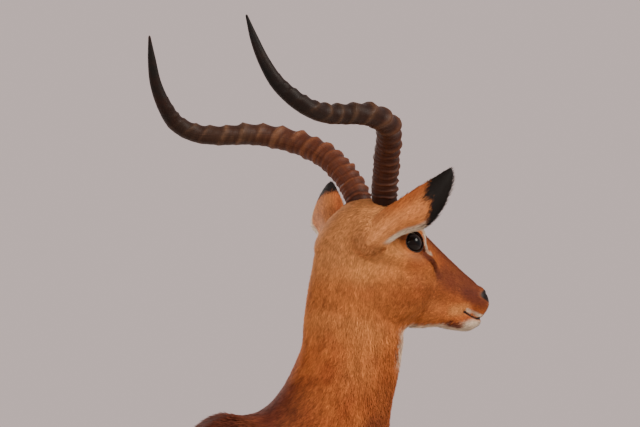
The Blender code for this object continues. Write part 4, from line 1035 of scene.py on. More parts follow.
def comb(points, normals):
    """The way the coat lies at each point: the guides' ways, weighted by nearness and laid along the skin."""
    total = np.zeros_like(points)
    for table, turn, spot_of in ((BODY_LIE, np.eye(3), np.asarray), (HEAD_LIE, HEAD_TURN, from_head)):
        for place, way, reach in table:
            for s in (1, -1):
                mirror = np.array((1, s, 1))
                apart = ((points - spot_of(np.array(place) * mirror)) ** 2).sum(axis=1)
                weight = np.exp(-apart / (2 * reach**2)) / reach
                total += weight[:, None] * (turn @ unit(np.array(way) * mirror))
    total += 1e-9 * np.array((-1.0, 0, -1.0))
    total -= normals * (total * normals).sum(axis=1)[:, None]
    return unit_rows(total)


# ---------------------------------------------------------------- the unwrap: where each tuft's colour lies

def unwrap_lines():
    """A line through each region of the coat, round and along which its skin is unrolled."""
    places = {
        "trunk": ((0.42, 0, 0.72), (0, 0, 0.71), (-0.46, 0, 0.74)),
        "neck": ((0.27, 0, 0.7), (0.35, 0, 0.85), (0.395, 0.01, 1.18)),
        "head": ((-0.14, 0, 0.03), (0.03, 0, -0.03), (0.17, 0, -0.09)),
        "tail": ((-0.38, 0, 0.86), (-0.44, 0, 0.82), (-0.46, 0, 0.54)),
    }
    lines = {
        name: Sweep([(*p, 1, 1) for p in line], samples=60, matrix=HEAD_MATRIX if name == "head" else BODY)
        for name, line in places.items()
    }
    for name, s in SIDES:
        for end, forms in (("front", front_leg_forms), ("hind", hind_leg_forms)):
            lines[f"{end}_leg_{name}"] = next(forms(s, LEG_REACH[end, name]))[0]
    return lines


def unrolled(points, line):
    """(round, along), each from 0 to 1, of points about a line."""
    found = np.empty((2, len(points)))
    for start in range(0, len(points), CHUNK):
        p = points[start:start + CHUNK]
        near = line.nearest(p)
        away = p - line.centre[near]
        turn = np.arctan2((away * line.side[near]).sum(1), (away * line.deep[near]).sum(1))
        along = (near + (away * line.tangent[near]).sum(1) / line.step) / len(line.centre)
        found[:, start:start + CHUNK] = turn / (2 * math.pi) + 0.5, np.clip(along, 0, 1)
    return found


# Half the width of a tuft's patch of colour on the unwrap.
PATCH = 0.0015


# ---------------------------------------------------------------- the coat

# (tufts, length, half width, lift in radians) of each piece of the coat.
COATS = {
    "trunk_left": (44_000, 0.015, 0.0011, 0.16),
    "trunk_right": (44_000, 0.015, 0.0011, 0.16),
    "neck_left": (30_000, 0.012, 0.0008, 0.18),
    "neck_right": (44_000, 0.012, 0.0008, 0.18),
    "head_left": (34_000, 0.006, 0.00045, 0.2),
    "head_right": (46_000, 0.006, 0.00045, 0.2),
    "ears": (24_000, 0.006, 0.00045, 0.18),
    "front_legs": (22_000, 0.0085, 0.0008, 0.14),
    "hind_legs": (26_000, 0.0095, 0.0008, 0.14),
    "tail": (6_000, 0.03, 0.001, 0.2),
}
LEG_TOP = 0.57


def piece_names(points):
    """Which piece of the coat each point of the skin belongs to, as an index into COATS."""
    x, y, z = points.T
    out = to_head(points)[:, 1]
    neck = behind(points, NECK_BASE) > 0
    head = (behind(points, HEAD_BASE) > 0) & (z > 0.97)
    leg = (z < LEG_TOP) & (np.abs(y) > 0.03)
    found = np.zeros(len(points), int)
    for name, where in (
        ("trunk_left", y > 0), ("trunk_right", y <= 0),
        ("neck_left", neck & (y > 0.004)), ("neck_right", neck & (y <= 0.004)),
        ("head_left", head & (out > 0)), ("head_right", head & (out <= 0)),
        ("front_legs", leg & (x > 0.1)), ("hind_legs", leg & (x < -0.1)),
        ("tail", (x < -0.432) & (z > 0.5) & (z < 0.865) & (np.abs(y) < 0.024)),
    ):
        found[where] = list(COATS).index(name)
    return found


def normals_of(points, quads):
    """Smooth normals of a mesh of quads or triangles."""
    a, b = points[quads[:, 2]] - points[quads[:, 0]], points[quads[:, -1]] - points[quads[:, 1]]
    face = np.cross(a, b)
    total = np.zeros_like(points)
    for corner in quads.T:
        for i in range(3):
            total[:, i] += np.bincount(corner, face[:, i], len(points))
    return total / np.maximum(np.linalg.norm(total, axis=1), 1e-12)[:, None]


def areas(points, triangles):
    a, b, c = (points[triangles[:, i]] for i in range(3))
    return np.linalg.norm(np.cross(b - a, c - a), axis=1) / 2


def scatter(rng, points, triangles, weight, count):
    """(triangle, shares of its corners) of count places strewn over triangles by area and weight."""
    area = areas(points, triangles) * weight
    pick = np.searchsorted(np.cumsum(area) / area.sum(), (np.arange(count) + rng.random(count)) / count)
    pick = np.minimum(pick, len(triangles) - 1)
    first, second = rng.random(count), rng.random(count)
    flip = first + second > 1
    first, second = np.where(flip, 1 - first, first), np.where(flip, 1 - second, second)
    return pick, np.stack([1 - first - second, first, second], axis=1)


# (how much finer than the first, weight) of each layer of locks.
LOCKS = ((1, 0.35), (2.6, 0.6), (5.2, 0.6))


def strands(rng, uv, around, along):
    """Unevenness of about -1 to 1 at places on the unwrap, in locks drawn out along the body."""
    total = np.zeros(len(uv))
    for finer, weight in LOCKS:
        shape = np.maximum((np.array((around, along)) * finer).astype(int), 2)
        grid = rng.normal(0, 1, shape + 1)
        at = uv * shape
        low = np.minimum(at.astype(int), shape - 1)
        u, v = (soft(at - low, 0, 1)).T
        i, j = low.T
        total += weight * (
            (grid[i, j] * (1 - u) + grid[i + 1, j] * u) * (1 - v)
            + (grid[i, j + 1] * (1 - u) + grid[i + 1, j + 1] * u) * v
        )
    return total


TUFT_SWING = 0.14
# A tuft's corners are its foot, two low corners at TUFT_WAIST of its length and its tip.
TUFT_WAIST = 0.42
TUFT_CORNERS = 4
TUFT_FACES = np.array(((0, 3, 1), (0, 2, 3), (0, 1, 2), (3, 2, 1)))


def tuft_mesh(rng, roots, normals, ways, length, half, lift):
    """(points, triangles, normals) of one closed sliver at each root: a ridge over two low corners."""
    swing = rng.normal(0, TUFT_SWING, len(roots))[:, None]
    ways = ways * np.cos(swing) + np.cross(normals, ways) * np.sin(swing)
    across = np.cross(normals, ways)
    rise = (lift * rng.uniform(0.5, 1.5, len(roots)))[:, None]
    length = (length * rng.uniform(0.75, 1.2, len(roots)))[:, None]
    half = (half * rng.uniform(0.7, 1.3, len(roots)))[:, None]
    tip = roots + ways * length * np.cos(rise) + normals * length * np.sin(rise)
    foot = roots - normals * half * 0.5
    waist = foot * (1 - TUFT_WAIST) + tip * TUFT_WAIST - normals * half * 0.55
    points = np.stack([foot, waist + across * half, waist - across * half, tip], axis=1)
    shown = normals + ways * 0.25
    bent = np.stack([shown, shown + across * 0.45, shown - across * 0.45, normals + ways * 0.1], axis=1)
    triangles = (np.arange(len(roots))[:, None, None] * TUFT_CORNERS + TUFT_FACES).reshape(-1, 3)
    return points.reshape(-1, 3), triangles, unit_rows(bent).reshape(-1, 3)


# ---------------------------------------------------------------- making objects

def make_object(name, points, faces, paint, attributes=None, normals=None, uv=None):
    """A mesh object in the row's frame, from arrays in the forms' own frame."""
    mesh = bpy.data.meshes.new(name)
    faces = [np.asarray(f) for f in (faces if isinstance(faces, list) else [faces])]
    loops = np.concatenate([f.ravel() for f in faces]).astype(np.int32)
    sizes = np.concatenate([np.full(len(f), f.shape[1]) for f in faces])
    mesh.vertices.add(len(points))
    mesh.vertices.foreach_set("co", (np.asarray(points) + SHIFT).astype(np.float32).ravel())
    mesh.loops.add(len(loops))
    mesh.loops.foreach_set("vertex_index", loops)
    mesh.polygons.add(len(sizes))
    mesh.polygons.foreach_set("loop_start", np.r_[0, np.cumsum(sizes)[:-1]].astype(np.int32))
    mesh.update(calc_edges=True)
    mesh.polygons.foreach_set("use_smooth", np.full(len(sizes), True))
    for key, values in (attributes or {}).items():
        layer = mesh.attributes.new(key, "FLOAT", "POINT")
        layer.data.foreach_set("value", np.asarray(values, np.float32))
    for key, values in (uv or {}).items():
        layer = mesh.uv_layers.new(name=key)
        layer.data.foreach_set("uv", np.asarray(values, np.float32)[loops].ravel())
    mesh.materials.append(paint)
    mesh.validate()
    if normals is not None:
        mesh.normals_split_custom_set_from_vertices(np.asarray(normals, np.float32))
    obj = linked(name, mesh)
    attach(obj, "root")
    return obj


# ---------------------------------------------------------------- materials

class Paint:
    """A material, with short calls for its nodes."""

    def __init__(self, name, roughness, **fixed):
        self.material = bpy.data.materials.new(name)
        self.material.use_nodes = True
        self.tree = self.material.node_tree
        self.shader = self.tree.nodes["Principled BSDF"]
        self.shader.inputs["Roughness"].default_value = roughness
        for socket, value in fixed.items():
            self.shader.inputs[socket.replace("_", " ")].default_value = value

    def put(self, socket, source):
        """Feeds a socket from another node's output or a plain value."""
        if isinstance(source, bpy.types.NodeSocket):
            self.tree.links.new(source, socket)
        else:
            colour = isinstance(source, tuple) and len(source) < len(socket.default_value)
            socket.default_value = (*source, 1) if colour else source

    def node(self, kind, inputs=(), output=0, **settings):
        """The output of a new node, with its inputs fed from (socket, source) pairs."""
        node = self.tree.nodes.new(f"ShaderNode{kind}")
        for key, value in settings.items():
            setattr(node, key, value)
        for socket, source in inputs:
            self.put(node.inputs[socket], source)
        return node.outputs[output]

    def attribute(self, name):
        return self.node("Attribute", output="Fac", attribute_name=name)

    def uv(self, name):
        return self.node("UVMap", output="UV", uv_map=name)

    def noise(self, scale, detail=3.0, place=None, stretch=None):
        place = self.node("TexCoord", output="Object") if place is None else place
        if stretch is not None:
            place = self.node("Mapping", (("Scale", stretch), ("Vector", place)), "Vector")
        return self.node("TexNoise", (("Scale", scale), ("Detail", detail), ("Vector", place)), "Fac")

    def math(self, operation, a, b):
        return self.node("Math", enumerate((a, b)), operation=operation)

    def times(self, a, b):
        return self.math("MULTIPLY", a, b)

    def between(self, value, low, high, start=0.0, end=1.0):
        """value drawn from low..high to start..end, and held there."""
        return self.node("MapRange", enumerate((value, low, high, start, end)))

    def mix(self, share, a, b, blend="MIX"):
        return self.node("Mix", ((0, share), (6, a), (7, b)), 2, data_type="RGBA", blend_type=blend)

    def shaded(self, colour, shade):
        return self.mix(1.0, colour, shade, "MULTIPLY")

    def bump(self, height, strength, distance):
        inputs = (("Strength", strength), ("Distance", distance), ("Height", height))
        self.feed("Normal", self.node("Bump", inputs, "Normal"))

    def feed(self, socket, source):
        self.put(self.shader.inputs[socket], source)


DEEP, LIGHT = (0.355, 0.08, 0.022), (0.51, 0.155, 0.036)
DARK, FAWN = (0.115, 0.025, 0.014), (0.62, 0.255, 0.078)
WHITE, BLACK, BARE = (0.7, 0.58, 0.43), (0.007, 0.005, 0.004), (0.007, 0.005, 0.005)


def coat_paint(name, tufted):
    """The coat's colours, from the tones that the mesh carries; tufted gives each tuft its own tone and a
    painted shade at its root.
    """
    paint = Paint(name, 0.65, Specular_IOR_Level=0.12)
    patches = paint.math("ADD", paint.noise(30.0, 4.0), paint.times(paint.attribute("strand"), 0.07))
    colour = paint.mix(paint.between(patches, 0.18, 0.84), DEEP, LIGHT)
    for tone, shade in (("dark", DARK), ("fawn", FAWN), ("white", WHITE), ("black", BLACK)):
        colour = paint.mix(paint.attribute(tone), colour, shade)
    if tufted:
        # Painted shade: each tuft darker at its root, under the tufts that lie over it, and lighter towards its
        # tip.
        painted_root_shade = paint.between(paint.attribute("along"), 0, 1, 0.72, 1.12)
        colour = paint.shaded(colour, paint.times(paint.attribute("tone"), painted_root_shade))
    else:
        grain = paint.noise(1400.0, 2.0, stretch=(0.35, 1.0, 0.35))
        paint.bump(grain, 0.5, 0.0006)
        colour = paint.shaded(colour, paint.between(grain, 0.3, 0.7, 0.6, 0.95))
        colour = paint.mix(paint.attribute("bare"), colour, BARE)
        paint.feed("Roughness", paint.between(paint.attribute("bare"), 0, 1, 0.62, 0.42))
    paint.feed("Base Color", colour)
    return paint.material


HORN_LOW, HORN_MIDDLE, HORN_TIP = (0.084, 0.023, 0.01), (0.037, 0.017, 0.01), (0.008, 0.006, 0.005)
# Colours of the painted highlight along the crests of the rings, low on the horn and high on it.
CREST_LOW, CREST_HIGH = (0.23, 0.075, 0.028), (0.19, 0.1, 0.052)
# Colours of the painted shade in the hollows between the rings and of the horn's stains.
HORN_GROOVE_SHADE, HORN_STAIN = (tuple(c * share for c in HORN_LOW) for share in (0.25, 0.45))


def horn_paint():
    paint = Paint("horn", 0.5, Specular_IOR_Level=0.14)
    along = paint.attribute("along")
    crest = paint.attribute("crest")
    unwrap = paint.uv("HornUV")
    fine = paint.noise(1.0, 4.0, unwrap, (9.0, 420.0, 1.0))
    fibre = paint.noise(1.0, 3.0, unwrap, (60.0, 10.0, 1.0))
    patch = paint.noise(38.0, 3.0)
    colour = paint.mix(paint.between(along, 0.28, 0.52), HORN_LOW, HORN_MIDDLE)
    # Painted highlight: pale thin lines along the crests of the rings, in patches.
    pale = paint.mix(paint.between(along, 0.25, 0.5), CREST_LOW, CREST_HIGH)
    pale_share = paint.times(paint.between(crest, 0.3, 0.85), paint.between(patch, 0.4, 0.62, 0.15, 0.8))
    colour = paint.mix(pale_share, colour, pale)
    # Painted shade darkens the hollows between the crests.
    colour = paint.mix(paint.between(crest, 0.0, 0.2, 0.72, 0.0), colour, HORN_GROOVE_SHADE)
    colour = paint.mix(paint.between(along, 0.6, 0.8), colour, HORN_TIP)
    colour = paint.mix(paint.times(paint.between(patch, 0.45, 0.75), 0.5), colour, HORN_STAIN)
    lines, threads = paint.between(fine, 0.3, 0.7, 0.5, 0.8), paint.between(fibre, 0.3, 0.7, 0.0, 0.5)
    shade = paint.math("ADD", lines, threads)
    # The horn's colour, darkened by its grain and by the painted shade of its side.
    paint.feed("Base Color", paint.shaded(colour, paint.times(shade, paint.attribute("wear"))))
    paint.feed("Roughness", paint.between(fine, 0.3, 0.7, 0.4, 0.6))
    paint.bump(paint.math("ADD", fine, paint.times(fibre, 0.6)), 0.4, 0.001)
    return paint.material


PUPIL, IRIS_DARK, IRIS_LIGHT = (0.002, 0.003, 0.004), (0.004, 0.002, 0.002), (0.009, 0.005, 0.003)
EYE_EDGE = (0.004, 0.003, 0.002)


def eye_paint():
    paint = Paint("eye", 0.08, Specular_IOR_Level=0.16)
    iris = paint.mix(paint.noise(900.0, 3.0), IRIS_DARK, IRIS_LIGHT)
    colour = paint.mix(paint.between(paint.attribute("pupil"), 0.85, 1.1), PUPIL, iris)
    paint.feed("Base Color", paint.mix(paint.between(paint.attribute("ring"), 0.78, 0.92), colour, EYE_EDGE))
    return paint.material


HOOF_DARK, HOOF_LIGHT, HOOF_FIBRE = (0.012, 0.01, 0.009), (0.045, 0.035, 0.028), (0.07, 0.055, 0.042)


def hoof_paint():
    paint = Paint("hoof", 0.38, Specular_IOR_Level=0.45)
    rings = paint.noise(1.0, 2.0, stretch=(18.0, 18.0, 520.0))
    fibre = paint.noise(1.0, 3.0, stretch=(620.0, 620.0, 40.0))
    faint = paint.times(fibre, 0.4)
    colour = paint.mix(paint.between(rings, 0.3, 0.7), HOOF_DARK, HOOF_LIGHT)
    paint.feed("Base Color", paint.mix(faint, colour, HOOF_FIBRE))
    paint.feed("Roughness", paint.between(fibre, 0.3, 0.7, 0.28, 0.55))
    paint.bump(paint.math("ADD", rings, faint), 0.5, 0.0008)
    return paint.material


# ---------------------------------------------------------------- horns, eyes and hooves

HORN_STATIONS = (
    (-0.027, 0.031, 0.04, 0.02), (-0.0355, 0.0365, 0.069, 0.0196),
    (-0.0415, 0.053, 0.101, 0.0186), (-0.052, 0.0765, 0.129, 0.0179),
    (-0.064, 0.105, 0.15, 0.0174), (-0.083, 0.1335, 0.1655, 0.0168),
    (-0.11, 0.151, 0.175, 0.0164), (-0.14, 0.158, 0.179, 0.0158),
    (-0.17, 0.16, 0.1785, 0.0151), (-0.198, 0.166, 0.178, 0.0144),
    (-0.229, 0.176, 0.1825, 0.0138), (-0.259, 0.178, 0.197, 0.013),
    (-0.283, 0.169, 0.222, 0.0113), (-0.3, 0.162, 0.254, 0.0091),
    (-0.31, 0.153, 0.289, 0.0063), (-0.3165, 0.1455, 0.322, 0.0018),
)
HORN_FRONT = (0.75, 0.25, 0.6)
HORN_RINGS, HORN_SIDES = 460, 44
FIRST_RING = 0.046
# Steps from ring to ring up the front of the horn.
RING_STEPS = (
    0.012, 0.012, 0.0125, 0.013, 0.0145, 0.0175, 0.0215, 0.0255, 0.0285, 0.029, 0.028, 0.027,
    0.027, 0.026, 0.022, 0.018, 0.015,
)
RING_VALLEY = 0.38
RING_HEIGHT = 0.25
# How tall the rings are along the horn, how far each leans on towards the tip round the horn's back, and how
# tall they are up its back against its front.
RING_FADE = (
    (0, 0.06, 0.2, 0.36, 0.44, 0.62, 0.72, 0.8, 0.84, 1), (0.55, 0.7, 0.95, 1.25, 1.2, 0.8, 0.55, 0.3, 0, 0),
)
RING_LEAN = (0, 6, 10, 19), (0.001, 0.004, 0.015, 0.015)
RING_BACK = (0, 0.35, 0.5), (0.45, 0.4, 0.15)
# How light each horn is: painted shade darkens the right horn, whose side faces the ground, and painted light
# brightens the left a little.
HORN_SHADE = {"left": 1.06, "right": 0.52}


def ridge(places, rings, tall):
    """How high sharp rings stand at places along the horn, each falling off fast on the side of the tip."""
    low = np.clip(np.searchsorted(rings, places) - 1, 0, len(rings) - 2)
    way = (places - rings[low]) / (rings[low + 1] - rings[low])
    past = way < RING_VALLEY
    away = np.where(past, way / RING_VALLEY, (1 - way) / (1 - RING_VALLEY))
    return ((way >= 0) & (way <= 1)) * tall[np.where(past, low, low + 1)] * (1 - np.clip(away, 0, 1)) ** 1.7


def crests(places, turns):
    """How high the rings stand at each place along the horn and each turn round it from its front."""
    rings = FIRST_RING + np.r_[0, np.cumsum(RING_STEPS)]
    rings = np.r_[rings[0] - 0.012, rings, rings[-1] + 0.02]
    order = np.arange(len(rings))
    found = []
    for turn in turns:
        back = 0.5 - 0.5 * np.cos(turn)
        wavy = 0.0014 * np.sin(2 * turn + 5 * order) + 0.0007 * np.sin(5 * turn + 3 * order)
        own = rings + np.interp(order, *RING_LEAN) * back + wavy
        tall = 1 + 0.22 * np.sin(2.4 * order + 0.8 * turn)
        # Up the back a lesser ring stands between each two.
        between = ridge(places, (own[1:] + own[:-1]) / 2, tall[1:])
        found.append(np.maximum(ridge(places, own, tall), 0.6 * back**1.5 * between))
    return np.stack(found, axis=1)


def add_horn(name, s, paint):
    """One horn: sharp crests with hollows between them, crowding at the root and down the back."""
    rows = np.array(HORN_STATIONS) * (1, s, 1, 1)
    reach = reach_along(rows[:, :3])
    places = np.linspace(0, reach[-1], HORN_RINGS)
    along = places / reach[-1]
    made = smooth_curve(reach, rows, places)
    centre, half = made[:, :3], made[:, 3]
    tangent = unit_rows(np.gradient(centre, axis=0))
    front = np.array(HORN_FRONT) * (1, s, 1)
    out = unit_rows(front - tangent * (tangent @ front)[:, None])
    across = np.cross(tangent, out)
    turns = np.linspace(0, 2 * math.pi, HORN_SIDES, endpoint=False)
    crest = crests(places, turns) * np.interp(along, *RING_FADE)[:, None]
    back = np.interp(along, *RING_BACK)[:, None]
    bulk = RING_HEIGHT * crest * (back + (1 - back) * (0.5 + 0.5 * np.cos(turns)) ** 0.7)
    wide = (half[:, None] * 0.94 * (1 + bulk))[:, :, None]
    ring = out[:, None] * np.cos(turns)[:, None] + across[:, None] * np.sin(turns)[:, None]
    points = (centre[:, None] + ring * wide).reshape(-1, 3)
    points = np.r_[points, [centre[-1] + tangent[-1] * half[-1]]]
    last = (HORN_RINGS - 1) * HORN_SIDES + np.arange(HORN_SIDES)
    cap = np.stack([last, np.roll(last, -1), np.full(HORN_SIDES, len(points) - 1)], axis=1)
    uv = np.stack([np.tile(np.abs(turns / math.pi - 1), HORN_RINGS), np.repeat(along, HORN_SIDES)], axis=1)
    # Each horn carries the painted shade of its side as an attribute.
    horn = make_object(
        f"ringed_horn_{name}", from_head(points), [tube_faces(HORN_RINGS, HORN_SIDES), cap], paint,
        attributes={"along": np.r_[uv[:, 1], 1], "crest": np.r_[crest.ravel(), 0],
                    "wear": np.full(len(points), HORN_SHADE[name])},
        uv={"HornUV": np.r_[uv, [(0, 1)]]},
    )
    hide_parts(f"horn_{name}")


EYE_RINGS, EYE_SIDES = 48, 64


def add_eye(name, s, paint):
    """An eyeball with a bulging cornea and a level, oblong pupil."""
    centre, out, along, up = eye_axes(s)
    polar = np.linspace(0.0, math.pi, EYE_RINGS)
    turns = np.linspace(0, 2 * math.pi, EYE_SIDES, endpoint=False)
    radius = EYE_RADIUS * (1 + 0.045 * np.exp(-(polar / 0.55) ** 2)) - 0.0002
    flat = np.outer(radius * np.sin(polar), np.ones(EYE_SIDES))
    points = (
        centre + (flat * np.cos(turns))[:, :, None] * along + (flat * np.sin(turns))[:, :, None] * up
        + (radius * np.cos(polar))[:, None, None] * out
    ).reshape(-1, 3)
    if s > 0:
        points = points.reshape(EYE_RINGS, EYE_SIDES, 3)[:, ::-1].reshape(-1, 3)
    level = (points - centre) @ (along * 0.9 + up * 0.1) / 0.008
    upright = (points - centre) @ up / 0.0038
    ring = np.repeat(np.sin(np.minimum(polar, math.pi / 2)), EYE_SIDES)
    eye = make_object(
        f"eyeball_{name}", from_head(points), tube_faces(EYE_RINGS, EYE_SIDES), paint,
        attributes={"ring": ring, "pupil": np.sqrt(level**2 + upright**2)},
    )
    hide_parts(f"eye_{name}")


HOOF_ROWS, HOOF_STEPS = 12, 22
# (height, heel, toe, outer width, inner gap) of a claw, from the sole to the coronet.
CLAW_LEVELS = (
    (0.0, -0.024, 0.04, 0.0165, 0.0022), (0.005, -0.0235, 0.0375, 0.017, 0.0018),
    (0.02, -0.0215, 0.0275, 0.0178, 0.001), (HOOF_TOP, -0.019, 0.018, 0.0168, 0.0008),
)
# How far the outer wall stands out along the claw, at even steps from heel to toe.
CLAW_BULGE = (0.3, 0.8, 1.0, 0.98, 0.8, 0.48, 0.1)
CLAW_EDGE = 0.0008


def add_claw(end, name, claw, paint):
    """One claw of a cloven hoof: a bulging outer wall and a flat inner one, from the sole to the coronet."""
    s = dict(SIDES)[claw]
    x, y = {"front": FRONT_CORONET, "hind": HIND_CORONET}[end]
    x, y = x + LEG_REACH[end, name], y * dict(SIDES)[name]
    heights = np.linspace(0, HOOF_TOP, HOOF_ROWS)
    levels = np.array(CLAW_LEVELS)
    levels = smooth_curve(levels[:, 0], levels[:, 1:], heights)
    shares = 0.5 - 0.5 * np.cos(np.linspace(0, math.pi, HOOF_STEPS))
    bulge = smooth_curve(np.arange(7) / 6, np.array(CLAW_BULGE), shares)
    rows = []
    for z, (heel, toe, wide, gap) in zip(heights, levels):
        ease = 1 - 0.0006 / 0.017 * (z < 0.001)
        length = x + (heel + (toe - heel) * shares) * ease
        outer = y + s * (gap + (wide - gap) * bulge * ease)
        back = length[-2:0:-2]
        length = np.r_[length, back]
        wall = np.r_[outer, np.full(len(back), y + s * gap)]
        rows.append(np.stack([length, wall, np.full(len(length), z)], axis=1))
    n = len(rows[0])
    points = np.concatenate(rows + [[rows[0].mean(axis=0), rows[-1].mean(axis=0)]])
    ring, last = np.arange(n), (HOOF_ROWS - 1) * n + np.arange(n)
    sole = np.stack([np.roll(ring, -1), ring, np.full(n, len(points) - 2)], axis=1)
    crown = np.stack([last, np.roll(last, -1), np.full(n, len(points) - 1)], axis=1)
    faces = [tube_faces(HOOF_ROWS, n), sole, crown]
    if s > 0:
        faces = [f[:, ::-1] for f in faces]
    hoof = make_object(f"claw_{end}_{name}_{claw}", points, faces, paint)
    edge = hoof.modifiers.new("soft edge", "BEVEL")
    edge.width, edge.segments, edge.limit_method, edge.angle_limit = CLAW_EDGE, 2, "ANGLE", math.radians(50)
    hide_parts(f"hoof_{end}_{name}_{claw}")


# ---------------------------------------------------------------- assembly

def lengths(points):
    """How long the coat is at each point, as a share of its piece's length."""
    local = to_head(points)
    on_head = head_share(points)
    face = np.interp(local[:, 0], (-0.1, -0.03, 0.06, 0.12, 0.15), (1.5, 1.15, 0.9, 0.6, 0.4))
    body = np.interp(points[:, 2], (0.03, 0.1, 0.5, 0.6), (0.5, 0.8, 1.0, 1.0))
    for name, s in SIDES:
        body += 1.2 * spot(points, gland_place(name, s), GLAND_RADII)
    # Shorter round the eyes, and a fringe under the jaw.
    face *= 1 - 0.4 * spot(np.abs(local), (0.012, 0.044, 0.004), (0.03, 0.02, 0.026), 0.4)
    face += 0.8 * soft(local[:, 2], -0.105, -0.118) * soft(local[:, 0], 0.11, 0.09)
    return body * (1 - on_head) + face * on_head


EVEN_ROUNDS = 40


def evened(values, edges):
    """Values at the skin's points, each drawn towards its neighbours so that no step is left."""
    first, second = edges.T
    count = len(values)
    total = 1 + np.bincount(first, minlength=count) + np.bincount(second, minlength=count)
    for _ in range(EVEN_ROUNDS):
        there, here = np.bincount(first, values[second], count), np.bincount(second, values[first], count)
        values = (values + there + here) / total
    return values


# How many locks go round each piece's unwrap and how many lie along it.
STRANDS = {
    "trunk": (90, 26), "neck": (50, 14), "head": (80, 44), "ears": (60, 8),
    "front": (24, 30), "hind": (24, 30), "tail": (12, 6),
}
# How much each ear's black tip slants and its fringe stands out, and where across the ear that fringe grows.
EAR_LEAN = {"left": 0.15, "right": 1.0}
EAR_FRINGE = (0.8, 0.95)


def add_coat(rng, name, made, tones, uv, paint):
    """One piece of the coat from its mesh and each tuft's tones and place on the unwrap."""
    points, triangles, normals = made
    tufts = len(uv)
    centre = np.clip(uv, PATCH, 1 - PATCH)
    corner = rng.uniform(-PATCH, PATCH, (tufts, TUFT_CORNERS, 2))
    strand = strands(rng, uv, *STRANDS[name.split("_")[0]])
    shade = rng.uniform(0.68, 1.24, tufts) * np.exp(0.18 * np.clip(strand, -2.5, 2.0))
    held = {key: value for key, value in tones.items() if key != "bare"} | {"strand": strand, "tone": shade}
    attributes = {key: np.repeat(value, TUFT_CORNERS) for key, value in held.items()}
    attributes["along"] = np.tile((0, TUFT_WAIST, TUFT_WAIST, 1), tufts)
    coat = make_object(
        f"coat_{name}", points, triangles, paint, attributes, normals,
        uv={"OFBake": (centre[:, None] + corner).reshape(-1, 2)},
    )


def strewn(rng, count, strength, share):
    return strength * (rng.random(count) < share)


def speckled(tones, specks):
    """The tones with dark specks strewn among them."""
    return {
        tone: np.maximum(values * (1 - specks), specks * (tone == "dark"))
        for tone, values in tones.items()
    }


def halved(quads):
    return np.concatenate([quads[:, [0, 1, 2]], quads[:, [0, 2, 3]]])


def add_ear_coat(rng, ears, name, paint):
    """Both ears' coat, longer within the cup and at its rim and shorter towards the tip."""
    count, length, half, lift = COATS[name]
    count //= len(ears)
    parts, tones, uvs = [], [], []
    for index, ((side, s), (points, normals, quads, *held)) in enumerate(zip(SIDES, ears)):
        triangles = halved(quads)
        pick, shares = scatter(rng, points, triangles, 1, count)
        corners = triangles[pick]
        share, across, outside = ((values[corners] * shares).sum(axis=1) for values in held)
        roots, ups = ((values[corners] * shares[:, :, None]).sum(axis=1) for values in (points, normals))
        ups = unit_rows(ups)
        ways = HEAD_TURN @ unit(EARS[side]["along"])
        ways = unit_rows(ways - ups * (ways * ups).sum(axis=1)[:, None])
        inner = outside < 0.5
        fringe = 1 + EAR_LEAN[side] * soft(across, *EAR_FRINGE)
        long = np.where(inner, 1.5, 1.0) * fringe * np.interp(share, (0.6, 1), (1, 0.4))
        made = tuft_mesh(rng, roots, ups, ways, length * long, half, lift)
        parts.append((made[0], made[1] + index * len(made[0]), made[2]))
        found = ear_tones(share + rng.normal(0, 0.02, count), -s * across, np.round(outside), EAR_LEAN[side])
        specks = strewn(rng, count, *EAR_SPECKS) * (share < 0.6) * (1 - found["black"])
        tones.append(speckled(found, specks))
        uvs.append(np.stack([(index * 2 + inner + (across + 1) / 2) / 4, share], axis=1))
    made = [np.concatenate([part[i] for part in parts]) for i in range(3)]
    tones = {tone: np.concatenate([found[tone] for found in tones]) for tone in TONES}
    add_coat(rng, name, made, tones, np.concatenate(uvs), paint)


def places_on_unwrap(name, roots, lines):
    """Each tuft's place on its piece's unwrap; both legs of a pair share one."""
    line = lines.get(name) or lines.get(name.rsplit("_", 1)[0])
    if line:
        return np.stack(unrolled(roots, line), axis=1)
    uv = np.empty((len(roots), 2))
    for i, (side, s) in enumerate(SIDES):
        own = roots[:, 1] * s > 0
        turn, along = unrolled(roots[own], lines[f"{name[:-1]}_{side}"])
        uv[own] = np.stack([(turn + i) / 2, along], axis=1)
    return uv


SEED = 7
# How much sooner than the skin turns bare its coat is gone, and how far off, in its own lengths, a tuft may
# take its colour.
THINNING = 1.6
TONE_JITTER = 0.22
# Dark specks at the root of each ear: where they are measured from in the head's frame, then the spot's centre,
# radii and edge; (strength, share of the tufts) of them there and on the ears.
SPECKS_AT = (-0.08, 0, 0.006)
SPECKS = (0, 0.058, 0), (0.028, 0.03, 0.03), 0.3
HEAD_SPECKS, EAR_SPECKS = (0.7, 0.07), (0.75, 0.08)


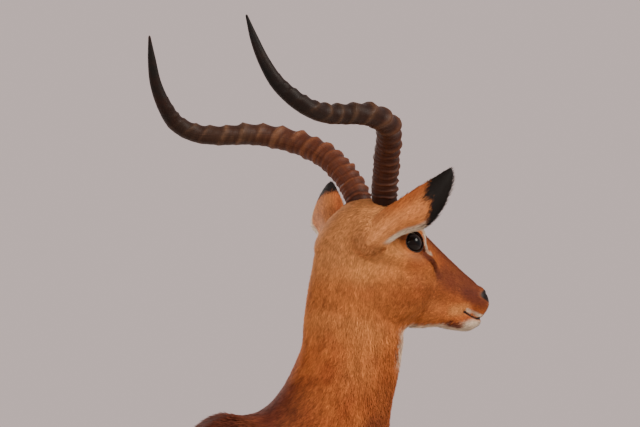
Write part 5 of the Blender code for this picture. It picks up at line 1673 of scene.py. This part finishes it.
def add_coats(rng, points, quads, seam, normals, bare, ears, paint):
    """Every piece of the coat, strewn over the skin with no step between one piece and the next."""
    triangles = np.concatenate([halved(quads), seam])
    middles = points[triangles].mean(axis=1)
    piece, corners = piece_names(middles), piece_names(points)
    edges = np.concatenate([triangles[:, [0, 1]], triangles[:, [1, 2]]])
    table = np.array(list(COATS.values()))
    room = np.bincount(piece, areas(points, triangles), len(table))
    crowd = np.log(table[:, 0] / np.maximum(room, 1e-9) + 1)
    crowd, *build = (evened(values[corners], edges) for values in (crowd, *table.T[1:]))
    thinned = np.clip(bare[triangles].mean(axis=1) * THINNING, 0, 1)
    weight = np.exp(crowd[triangles].mean(axis=1)) * (1 - thinned) * (middles[:, 2] > HOOF_TOP - 0.002)
    pick, shares = scatter(rng, points, triangles, weight, int(table[:, 0].sum() - COATS["ears"][0]))
    lines = unwrap_lines()
    for index, name in enumerate(COATS):
        if name == "ears":
            add_ear_coat(rng, ears, name, paint)
            continue
        mine = piece[pick] == index
        corner, share = triangles[pick[mine]], shares[mine]
        roots, ups = ((values[corner] * share[:, :, None]).sum(axis=1) for values in (points, normals))
        ups = unit_rows(ups)
        long, half, lift = ((values[corner] * share).sum(axis=1) for values in build)
        scale = lengths(roots)
        long = long * scale
        made = tuft_mesh(rng, roots, ups, comb(roots, ups), long, half * scale**0.5, lift)
        tones = coat_tones(roots + rng.normal(0, TONE_JITTER, roots.shape) * long[:, None], ups)
        if name.startswith("head"):
            specks = strewn(rng, len(roots), *HEAD_SPECKS)
            tones = speckled(tones, specks * spot(np.abs(to_head(roots) - SPECKS_AT), *SPECKS))
        add_coat(rng, name, made, tones, places_on_unwrap(name, roots, lines), paint)


def add_skin(points, quads, seam, tones, paint):
    """The skin of the body and both ears as one mesh; what the coat of each ear grows on."""
    ears, all_points, all_quads = [], [points], [quads]
    for name, s in SIDES:
        ear, faces, share, across, outside = ear_shell(**EARS[name])
        if (normals_of(ear, faces) * (ear - ear.mean(axis=0))).sum() < 0:
            faces = faces[:, ::-1]
        more = ear_tones(share, -s * across, outside, EAR_LEAN[name])
        tones = {tone: np.r_[tones[tone], more[tone]] for tone in TONES}
        all_quads.append(faces + sum(len(p) for p in all_points))
        all_points.append(ear)
        ears.append((ear, normals_of(ear, faces), faces, share, across, outside))
    skin = make_object("skin", np.concatenate(all_points), [np.concatenate(all_quads), seam], paint, tones)
    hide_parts("trunk", "neck", "head", "tail", "ear_left", "ear_right",
                *(f"{end}_leg_{name}" for end in ("front", "hind") for name, _ in SIDES))
    return ears


def main():
    rng = np.random.default_rng(SEED)
    skin_material, fur_material = coat_paint("skin_coat", False), coat_paint("fur", True)
    points, quads, seam = flesh_skin()
    normals = normals_of(points, np.concatenate([quads, seam[:, [0, 1, 2, 2]]]))
    tones = coat_tones(points, normals)
    ears = add_skin(points, quads, seam, tones, skin_material)
    add_coats(rng, points, quads, seam, normals, tones["bare"], ears, fur_material)
    horn, eye, hoof = horn_paint(), eye_paint(), hoof_paint()
    for name, s in SIDES:
        add_horn(name, s, horn)
        add_eye(name, s, eye)
        for end in ("front", "hind"):
            for claw, _ in SIDES:
                add_claw(end, name, claw, hoof)
    add_camera()
    add_studio()


main()
